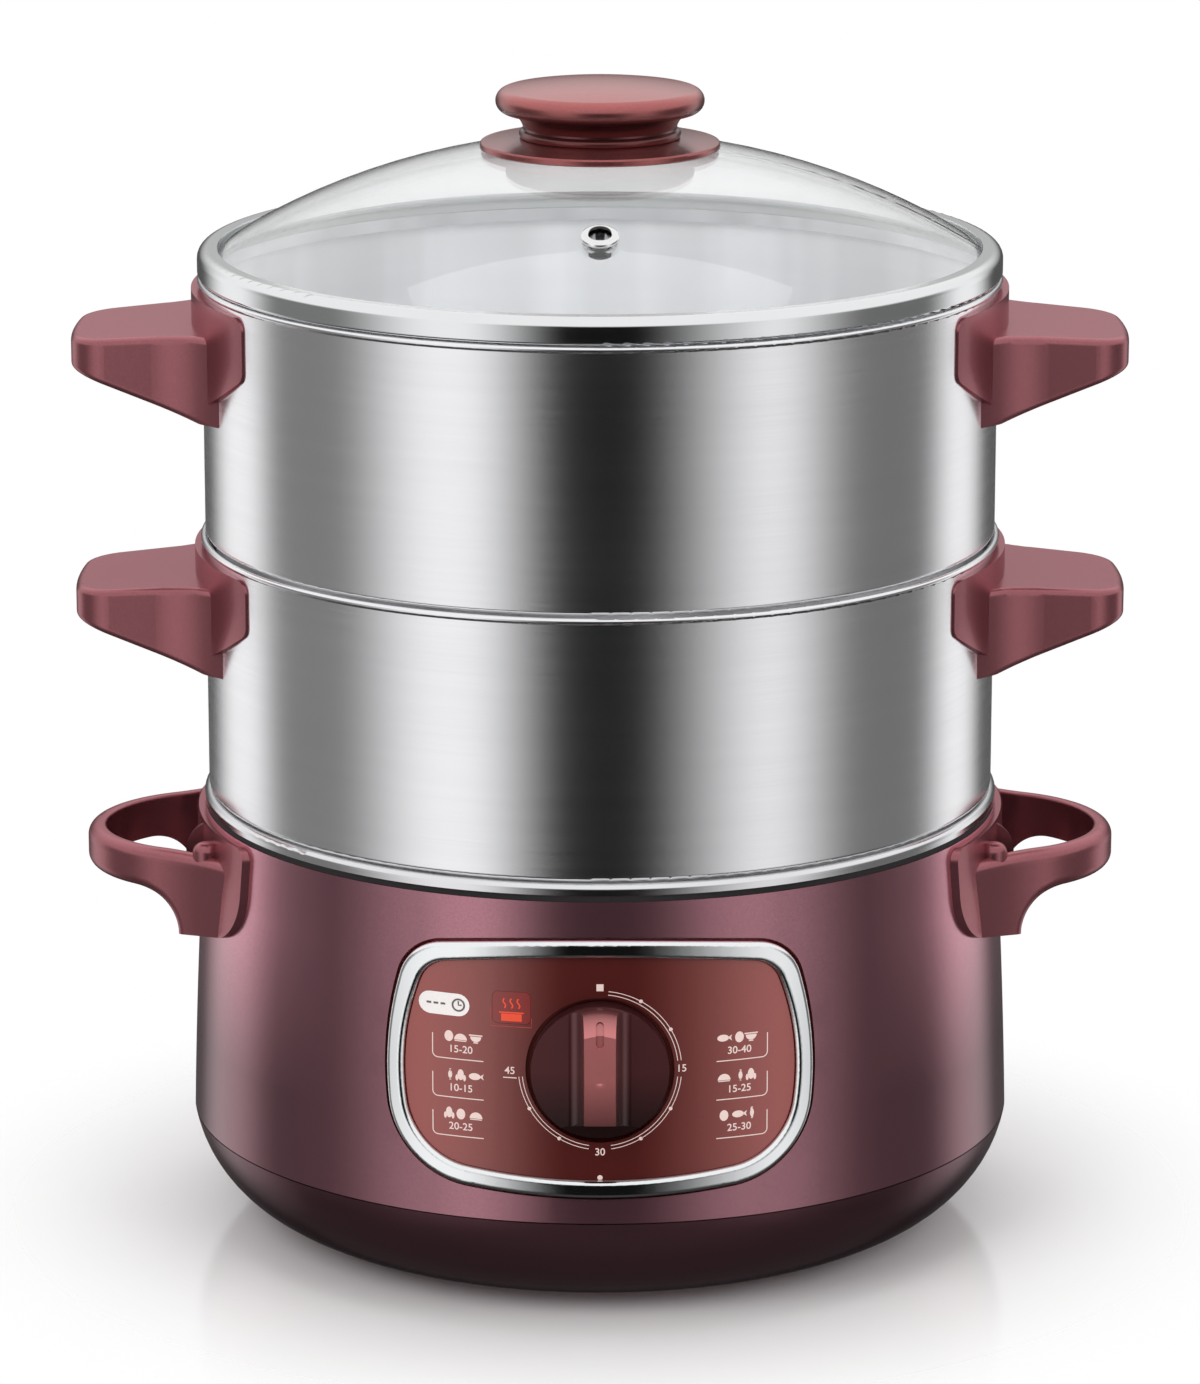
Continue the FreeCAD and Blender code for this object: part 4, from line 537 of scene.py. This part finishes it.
def grained(name, tint, roughness, grain, depth, metallic=0.0):
    """Plain moulded or cast material with a fine grain."""
    material, tree, shader = principled(name, Metallic=metallic)
    cloud = ranged(tree, noise(tree, 30.0, 3.0), 0.90, 1.10)
    linked(tree, shaded(tree, tint, cloud), shader, "Base Color")
    wear = ranged(tree, noise(tree, grain), roughness * 0.85, min(1.0, roughness * 1.15))
    linked(tree, wear, shader, "Roughness")
    bumped(tree, shader, cells(tree, grain), depth, 0.5)
    return material


def black_plastic():
    return grained("black_moulded_plastic", colour(32, 31, 33), 0.55, 1100.0, 0.00006)


def rubber_dark():
    return grained("dark_rubber", colour(34, 33, 34), 0.80, 700.0, 0.00005)


def gasket_grey():
    return grained("grey_silicone", colour(170, 172, 172), 0.60, 500.0, 0.00003)


def inner_plastic():
    return grained("cream_moulded_plastic", colour(226, 220, 200), 0.45, 800.0, 0.00003)


def cast_aluminium():
    return grained("cast_aluminium", colour(190, 191, 193), 0.45, 420.0, 0.00012, 1.0)


def brass():
    return grained("turned_brass", colour(205, 170, 96), 0.28, 900.0, 0.00001, 1.0)


def lens_red():
    """A red translucent window, lit softly from behind."""
    material, tree, shader = principled(
        "lens_red", Roughness=0.18, Coat_Weight=1.0, Coat_Roughness=0.03,
        Emission_Color=colour(150, 20, 12), Emission_Strength=0.10
    )
    grain = ranged(tree, noise(tree, 500.0), 0.92, 1.08)
    linked(tree, shaded(tree, colour(112, 30, 26), grain), shader, "Base Color")
    return material


def lamp_glass():
    material, tree, shader = principled(
        "lamp_glass", Roughness=0.05, Transmission_Weight=0.8, IOR=1.45
    )
    grain = ranged(tree, noise(tree, 300.0), 0.9, 1.1)
    linked(tree, shaded(tree, colour(240, 170, 120), grain), shader, "Base Color")
    return material


# The functions are named after the material slots of the record
FINISHES = {finish.__name__: finish for finish in (
    base_plum, handle_plum, knob_rose, dial_plum, panel_red, tier_steel, tank_steel, rim_steel,
    polished_steel, inner_steel, fastener_steel, bezel_chrome, lid_glass, black_plastic,
    rubber_dark, gasket_grey, inner_plastic, cast_aluminium, brass, lens_red, lamp_glass,
)}


def dress_nodes():
    """Give every CAD node the finish that its material slot names."""
    made = {}
    for part in frame["record"]["subparts"]:
        slot = part["material_slot"]
        if slot not in made:
            made[slot] = FINISHES[slot]()
        piece = frame["nodes"][part["node"]]
        piece.data.materials.clear()
        piece.data.materials.append(made[slot])


# ---------------------------------------------------------------- flat shapes for the panel's print
# Each shape is a list of polygons in millimetres, across and up from the dial's axis.
def on_circle(centre, radius, angle):
    """A point on a circle; the angle runs clockwise from straight up, in degrees."""
    turn = math.radians(angle)
    return (centre[0] + radius * math.sin(turn), centre[1] + radius * math.cos(turn))


def arc_points(centre, radius, first, last, steps):
    """Points along a circle from one angle to another."""
    return [
        on_circle(centre, radius, first + (last - first) * index / steps)
        for index in range(steps + 1)
    ]


def oval(centre, half_width, half_height, steps=24):
    return [[
        (centre[0] + half_width * math.sin(2 * math.pi * k / steps),
         centre[1] + half_height * math.cos(2 * math.pi * k / steps))
        for k in range(steps)
    ]]


def bar(centre, width, height):
    x, z = centre
    return [[
        (x - width / 2, z - height / 2), (x + width / 2, z - height / 2),
        (x + width / 2, z + height / 2), (x - width / 2, z + height / 2),
    ]]


def stroke(points, width):
    """A line of constant width along points."""
    sides = []
    for index, (x, z) in enumerate(points):
        before = Vector(points[max(index - 1, 0)])
        after = Vector(points[min(index + 1, len(points) - 1)])
        along = (after - before).normalized()
        sides.append(((x - along.y * width / 2, z + along.x * width / 2),
                      (x + along.y * width / 2, z - along.x * width / 2)))
    return [[a[0], a[1], b[1], b[0]] for a, b in zip(sides, sides[1:])]


def rounded_bar(centre, width, height, steps=10):
    """A bar with half-round ends."""
    reach = (width - height) / 2
    right = arc_points((centre[0] + reach, centre[1]), height / 2, 0, 180, steps)
    left = arc_points((centre[0] - reach, centre[1]), height / 2, 180, 360, steps)
    return [right + left]


def digits(text, centre, height):
    """Plain numbers as filled outlines."""
    curve = bpy.data.curves.new("digits", "FONT")
    curve.body = text
    curve.size = height / CAPITAL_SHARE
    curve.align_x = "CENTER"
    curve.align_y = "CENTER"
    curve.offset = DIGIT_SPREAD * height
    carrier = bpy.data.objects.new("digits", curve)
    bpy.context.scene.collection.objects.link(carrier)
    bpy.context.view_layer.update()
    mesh = bpy.data.meshes.new_from_object(carrier)
    faces = []
    for face in mesh.polygons:
        corners = [mesh.vertices[index].co for index in face.vertices]
        faces.append([(centre[0] + corner.x, centre[1] + corner.y) for corner in corners])
    bpy.data.objects.remove(carrier)
    bpy.data.curves.remove(curve)
    bpy.data.meshes.remove(mesh)
    return faces


def moved(shape, across, up):
    return [[(x + across, z + up) for x, z in polygon] for polygon in shape]


def mirrored(shape):
    return [[(-x, z) for x, z in reversed(polygon)] for polygon in shape]


# ---------------------------------------------------------------- food symbols, about 4 mm high
def bowl():
    lower = [arc_points((0, 0.4), 1.9, 90, 270, 14)]
    return lower + bar((0, 0.85), 4.6, 0.45) + bar((0, -1.75), 1.6, 0.4)


def bun():
    upper = [arc_points((0, -1.2), 2.2, -90, 90, 16)]
    return upper + bar((0, -1.55), 4.0, 0.35)


def egg():
    return oval((0, -0.1), 1.5, 1.9)


def fish():
    body = oval((-0.4, 0), 2.0, 1.2)
    tail = [[(1.2, 0), (2.7, 1.1), (2.3, 0), (2.7, -1.1)]]
    return body + tail


def leaf():
    blade = [arc_points((-1.2, 0), 2.3, 30, 150, 10) + arc_points((2.0, 0), 2.3, 210, 330, 10)]
    return blade + stroke([(0.4, -2.0), (0.4, -1.1)], 0.4)


def corn():
    return oval((0, 0.2), 1.1, 1.9) + oval((-1.3, -0.9), 0.5, 1.1) + oval((1.3, -0.9), 0.5, 1.1)


def steam_wave(across):
    points = [(across + 0.45 * math.sin(k * math.pi / 4), -1.6 + 0.42 * k) for k in range(9)]
    return stroke(points, 0.5)


# ---------------------------------------------------------------- the panel's print
def label_line(low):
    """The corner line of one cooking label, on the right-hand side."""
    middle = (LABEL_OUTER - LABEL_CORNER, low + LABEL_CORNER)
    corner = arc_points(middle, LABEL_CORNER, 90, 180, 6)
    return stroke([(LABEL_OUTER, low + LABEL_RISE)] + corner + [(LABEL_INNER, low)], LABEL_LINE)


def side_labels(rows, side):
    """All labels of one side; side is -1 for the left and 1 for the right."""
    faces = []
    for row, (symbols, minutes) in enumerate(rows):
        low = LABEL_LIFT - LABEL_PITCH * row
        faces += label_line(low) if side > 0 else mirrored(label_line(low))
        places = SYMBOL_PLACES if side < 0 else tuple(reversed(SYMBOL_PLACES))
        for place, symbol in zip(places, symbols):
            faces += moved(symbol(), side * place, low + SYMBOL_RISE)
        faces += digits(minutes, (side * SYMBOL_PLACES[1], low + NUMBER_RISE), NUMBER_HEIGHT)
    return faces


def dial_scale():
    """The timer's scale: two lines over three quarters of a turn, dots and minutes."""
    faces = []
    for radius in SCALE_LINES:
        for first, last in SCALE_ARCS:
            faces += stroke(arc_points((0, 0), radius, first, last, 32), SCALE_LINE)
    for angle in DOT_ANGLES:
        faces += oval(on_circle((0, 0), SCALE_RADIUS, angle), DOT_RADIUS, DOT_RADIUS, 16)
    faces += bar((0, NUMBER_RADIUS - 0.9), START_SQUARE, START_SQUARE)
    faces += digits("15", (SCALE_RADIUS, 0), NUMBER_HEIGHT)
    faces += digits("30", (0, -NUMBER_RADIUS + 1.2), NUMBER_HEIGHT)
    faces += digits("45", (-NUMBER_RADIUS - 0.8, -1.0), NUMBER_HEIGHT)
    faces += bar((-NUMBER_RADIUS - 0.8, -3.4), 4.6, LABEL_LINE)
    return faces


def badge_marks():
    """A small clock and three plain dashes on the badge."""
    clock = (BADGE_CENTRE[0] + 4.9, BADGE_CENTRE[1])
    faces = stroke(arc_points(clock, 2.0, 0, 360, 24), 0.6)
    faces += stroke([(clock[0], clock[1] + 1.4), clock, (clock[0] + 1.1, clock[1])], 0.5)
    for place in (-5.2, -2.8, -0.4):
        faces += bar((BADGE_CENTRE[0] + place, BADGE_CENTRE[1]), 1.6, 0.7)
    return faces


def heating_symbol():
    """Steam rising from a pot, lit in the lens."""
    pot = bar((0, 0), 7.0, 2.6) + bar((0, 1.7), 8.4, 0.5)
    faces = moved(pot, LENS_MIDDLE, POT_RISE)
    for across in (-2.4, 0.0, 2.4):
        faces += moved(steam_wave(across), LENS_MIDDLE, STEAM_RISE)
    return faces


def print_finish(name, tint, roughness=0.5, glow=0.0):
    material, tree, shader = principled(
        name, Roughness=roughness, Coat_Weight=0.6, Coat_Roughness=0.05,
        Emission_Color=tint, Emission_Strength=glow
    )
    grain = ranged(tree, noise(tree, 1200.0), 0.93, 1.07)
    linked(tree, shaded(tree, tint, grain), shader, "Base Color")
    return material


def panel_surface():
    """The panel and its lens as one surface that a print can be laid on."""
    corners = []
    faces = []
    for name in ("control_panel", "indicator_lens"):
        mesh = frame["nodes"][name].data
        first = len(corners)
        corners += [vertex.co.copy() for vertex in mesh.vertices]
        faces += [[first + index for index in face.vertices] for face in mesh.polygons]
    return BVHTree.FromPolygons(corners, faces)


def made_piece(name, work, material):
    """A piece from what bmesh holds, in the scene."""
    mesh = bpy.data.meshes.new(name)
    work.to_mesh(mesh)
    work.free()
    mesh.materials.append(material)
    piece = bpy.data.objects.new(name, mesh)
    bpy.context.scene.collection.objects.link(piece)
    return piece


def lay_print(name, shape, material, surface, proud=PRINT_PROUD):
    """Cut a flat shape into strips that can follow the panel's curve, and lay it on the panel."""
    low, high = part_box("timer_knob")
    axis = Vector(((low.x + high.x) / 2, 0, (low.z + high.z) / 2))
    work = bmesh.new()
    for polygon in shape:
        work.faces.new([work.verts.new((axis.x + x * MM, 0, axis.z + z * MM)) for x, z in polygon])
    for direction, start, end in STRIP_SPANS:
        for index in range(int((end - start) / STRIP)):
            place = Vector(direction) * (start + index * STRIP)
            everything = work.verts[:] + work.edges[:] + work.faces[:]
            bmesh.ops.bisect_plane(work, geom=everything, plane_co=place, plane_no=direction)
    for vertex in work.verts:
        above = Vector((vertex.co.x, DROP_FROM, vertex.co.z))
        hit = surface.ray_cast(above, Vector((0, 1, 0)))[0]
        vertex.co.y = hit.y - proud * MM
    work.normal_update()
    bmesh.ops.reverse_faces(work, faces=[face for face in work.faces if face.normal.y > 0])
    piece = made_piece(name, work, material)
    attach(piece, "base")


def print_panel():
    """All that is printed on the panel, and the lit symbol in the lens."""
    surface = panel_surface()
    pale = print_finish("print_pale", colour(232, 205, 198))
    left = (
        ((egg, bun, bowl), "15-20"), ((leaf, corn, fish), "10-15"), ((corn, egg, bun), "20-25"),
    )
    right = (
        ((fish, egg, bowl), "30-40"), ((bun, leaf, corn), "15-25"), ((egg, fish, leaf), "25-30"),
    )
    lay_print("label_print_left", side_labels(left, -1), pale, surface)
    lay_print("label_print_right", side_labels(right, 1), pale, surface)
    lay_print("dial_scale", dial_scale(), pale, surface)
    index = oval((0, INDEX_DROP), INDEX_RADIUS, INDEX_RADIUS)
    lay_print("index_dot", index, pale, surface)
    badge = print_finish("badge_white", colour(236, 230, 228), 0.35)
    lay_print("power_badge", rounded_bar(BADGE_CENTRE, *BADGE_SIZE), badge, surface)
    grey = print_finish("badge_grey", colour(92, 80, 80))
    lay_print("badge_marks", badge_marks(), grey, surface, 2 * PRINT_PROUD)
    glow = print_finish("heating_glow", colour(196, 58, 26), 0.4, 0.45)
    lay_print("heating_symbol", heating_symbol(), glow, surface)
    line = print_finish("print_red", colour(170, 50, 40))
    lay_print("heating_line", stroke(LENS_CORNER, 0.3), line, surface)


# ---------------------------------------------------------------- screw heads under the base
def cross_recesses():
    """The driver's cross in each screw head under the cover, as a flat dark sheet of painted shade.
    """
    low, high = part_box("bottom_screws")
    radius = (high.x - low.x) / 2 - SCREW_INSET * MM
    # Painted shade: a dark flat cross stands in for the shaded hollow of each recess.
    dark = grained("screw_recess", colour(40, 40, 42), 0.6, 600.0, 0.00002)
    corners = [(-1, -1), (-1, 1), (1, 1), (1, -1)]
    level = low.z - CROSS_PROUD * MM
    work = bmesh.new()
    for index in range(BOTTOM_SCREWS):
        turn = 2 * math.pi / BOTTOM_SCREWS * index
        centre = Vector((radius * math.cos(turn), radius * math.sin(turn), level))
        for width, depth in ((CROSS_ARM, CROSS_WIDTH), (CROSS_WIDTH, CROSS_ARM)):
            work.faces.new([
                work.verts.new(centre + Vector((x * width * MM, y * depth * MM, 0)))
                for x, y in corners
            ])
    piece = made_piece("screw_recesses", work, dark)
    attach(piece, "base")


# ---------------------------------------------------------------- studio
def only_for_reflections(piece):
    piece.visible_camera = False
    piece.visible_diffuse = False
    piece.visible_transmission = False
    piece.visible_volume_scatter = False
    piece.visible_shadow = False


def smooth_step(value):
    held = min(1.0, max(0.0, value))
    return held * held * (3 - 2 * held)


def thinned_out(tree, solid, output):
    """Let a stage sheet show only as far as its shade attribute says."""
    shade = node(tree, "Attribute", {"attribute_name": "shade"}).outputs["Fac"]
    clear = node(tree, "BsdfTransparent").outputs["BSDF"]
    linked(tree, mixed_shaders(tree, shade, clear, solid), output, "Surface")


def flag_finish():
    """Dark cloth, seen in the steel as a dark band."""
    material = bpy.data.materials.new("flag_cloth")
    material.use_nodes = True
    tree = material.node_tree
    tree.nodes.clear()
    dark = node(tree, "Emission", Color=(0.006, 0.006, 0.006, 1.0)).outputs["Emission"]
    thinned_out(tree, dark, node(tree, "OutputMaterial"))
    return material


def floor_finish():
    """A white, slightly glossy sheet that thins out to the white surroundings."""
    material, tree, sheet = principled(
        "studio_floor", Base_Color=(0.93, 0.925, 0.925, 1.0), Roughness=0.12, IOR=1.7
    )
    thinned_out(tree, sheet.outputs["BSDF"], tree.nodes["Material Output"])
    return material


def shaded_sheet(name, rows, material):
    """A stage sheet from rows of (point, shade)."""
    mesh = bpy.data.meshes.new(name)
    width = len(rows[0])
    points = [point for row in rows for point, _ in row]
    faces = []
    for row in range(len(rows) - 1):
        for column in range(width - 1):
            first = row * width + column
            faces.append((first, first + 1, first + 1 + width, first + width))
    mesh.from_pydata(points, [], faces)
    layer = mesh.attributes.new("shade", "FLOAT", "POINT")
    layer.data.foreach_set("value", [shade for row in rows for _, shade in row])
    mesh.materials.append(material)
    piece = bpy.data.objects.new(name, mesh)
    bpy.context.scene.collection.objects.link(piece)
    return piece


def flag(name, middle, core, soft, depth, levels, material):
    """An upright dark cloth round an azimuth seen from the object; soft gives its two blurred
    edges and levels how it thins out upwards."""
    rows = []
    first = middle - core - soft[0]
    last = middle + core + soft[1]
    steps = int((last - first) / FLAG_STEP)
    for index in range(steps + 1):
        azimuth = first + (last - first) * index / steps
        left = smooth_step((azimuth - first) / soft[0])
        right = smooth_step((last - azimuth) / soft[1])
        turn = math.radians(azimuth)
        place = (FLAG_DISTANCE * math.sin(turn), -FLAG_DISTANCE * math.cos(turn))
        rows.append([
            (place + (height,), depth * min(left, right) * thinning) for height, thinning in levels
        ])
    only_for_reflections(shaded_sheet(name, rows, material))


def ring(radius, height, sides, shade):
    """One round row of a stage sheet."""
    turns = [2 * math.pi * side / sides for side in range(sides + 1)]
    return [((radius * math.cos(turn), radius * math.sin(turn), height), shade) for turn in turns]


def ground_flag(material):
    """A dark cloth on the ground, seen by what looks steeply down."""
    rows = [ring(radius, GROUND_LEVEL, GROUND_SIDES, shade) for radius, shade in GROUND_SHADES]
    only_for_reflections(shaded_sheet("flag_ground", rows, material))


def floor():
    """A round sheet for the shadow and the faint mirror image; it isn't seen in the steel."""
    rows = []
    for index in range(FLOOR_RINGS + 1):
        radius = FLOOR_RADIUS * index / FLOOR_RINGS
        edge = (radius - FLOOR_SOLID_RADIUS) / (FLOOR_RADIUS - FLOOR_SOLID_RADIUS)
        rows.append(ring(radius, 0.0, FLOOR_SIDES, 1 - smooth_step(edge)))
    shaded_sheet("floor", rows, floor_finish()).visible_glossy = False


def world():
    """Soft even light; the camera, metal and glass see plain white."""
    made = bpy.data.worlds.new("studio")
    bpy.context.scene.world = made
    made.use_nodes = True
    tree = made.node_tree
    tree.nodes.clear()
    path = node(tree, "LightPath").outputs
    seen = path["Is Camera Ray"]
    for kind in ("Is Glossy Ray", "Is Transmission Ray"):
        seen = maths(tree, "MAXIMUM", seen, path[kind])
    light = node(tree, "Background", Color=WHITE, Strength=AMBIENT).outputs["Background"]
    white = node(tree, "Background", Color=WHITE, Strength=1.0).outputs["Background"]
    chosen = mixed_shaders(tree, seen, light, white)
    linked(tree, chosen, node(tree, "OutputWorld"), "Surface")


def lamp(name, place, size, power):
    light = bpy.data.lights.new(name, "AREA")
    light.shape = "RECTANGLE"
    light.size, light.size_y = size
    light.energy = power
    carrier = bpy.data.objects.new(name, light)
    carrier.location = place
    carrier.rotation_mode = "QUATERNION"
    carrier.rotation_quaternion = (Vector(LAMP_AIM) - Vector(place)).to_track_quat("-Z", "Y")
    carrier.visible_glossy = False
    bpy.context.scene.collection.objects.link(carrier)


def camera():
    lens = bpy.data.cameras.new("photo_camera")
    lens.lens = CAMERA_LENS
    lens.sensor_width = CAMERA_SENSOR
    carrier = bpy.data.objects.new("photo_camera", lens)
    carrier.location = CAMERA_PLACE
    carrier.rotation_euler = (math.pi / 2 + CAMERA_PITCH, 0.0, 0.0)
    bpy.context.scene.collection.objects.link(carrier)
    bpy.context.scene.camera = carrier


def studio():
    cloth = flag_finish()
    for settings in FLAGS:
        flag(*settings, cloth)
    ground_flag(cloth)
    floor()
    world()
    for settings in LAMPS:
        lamp(*settings)
    camera()


# ---------------------------------------------------------------- all together
bpy.context.scene.view_settings.view_transform = "Standard"
dress_nodes()
print_panel()
cross_recesses()
studio()

bpy.context.view_layer.update()
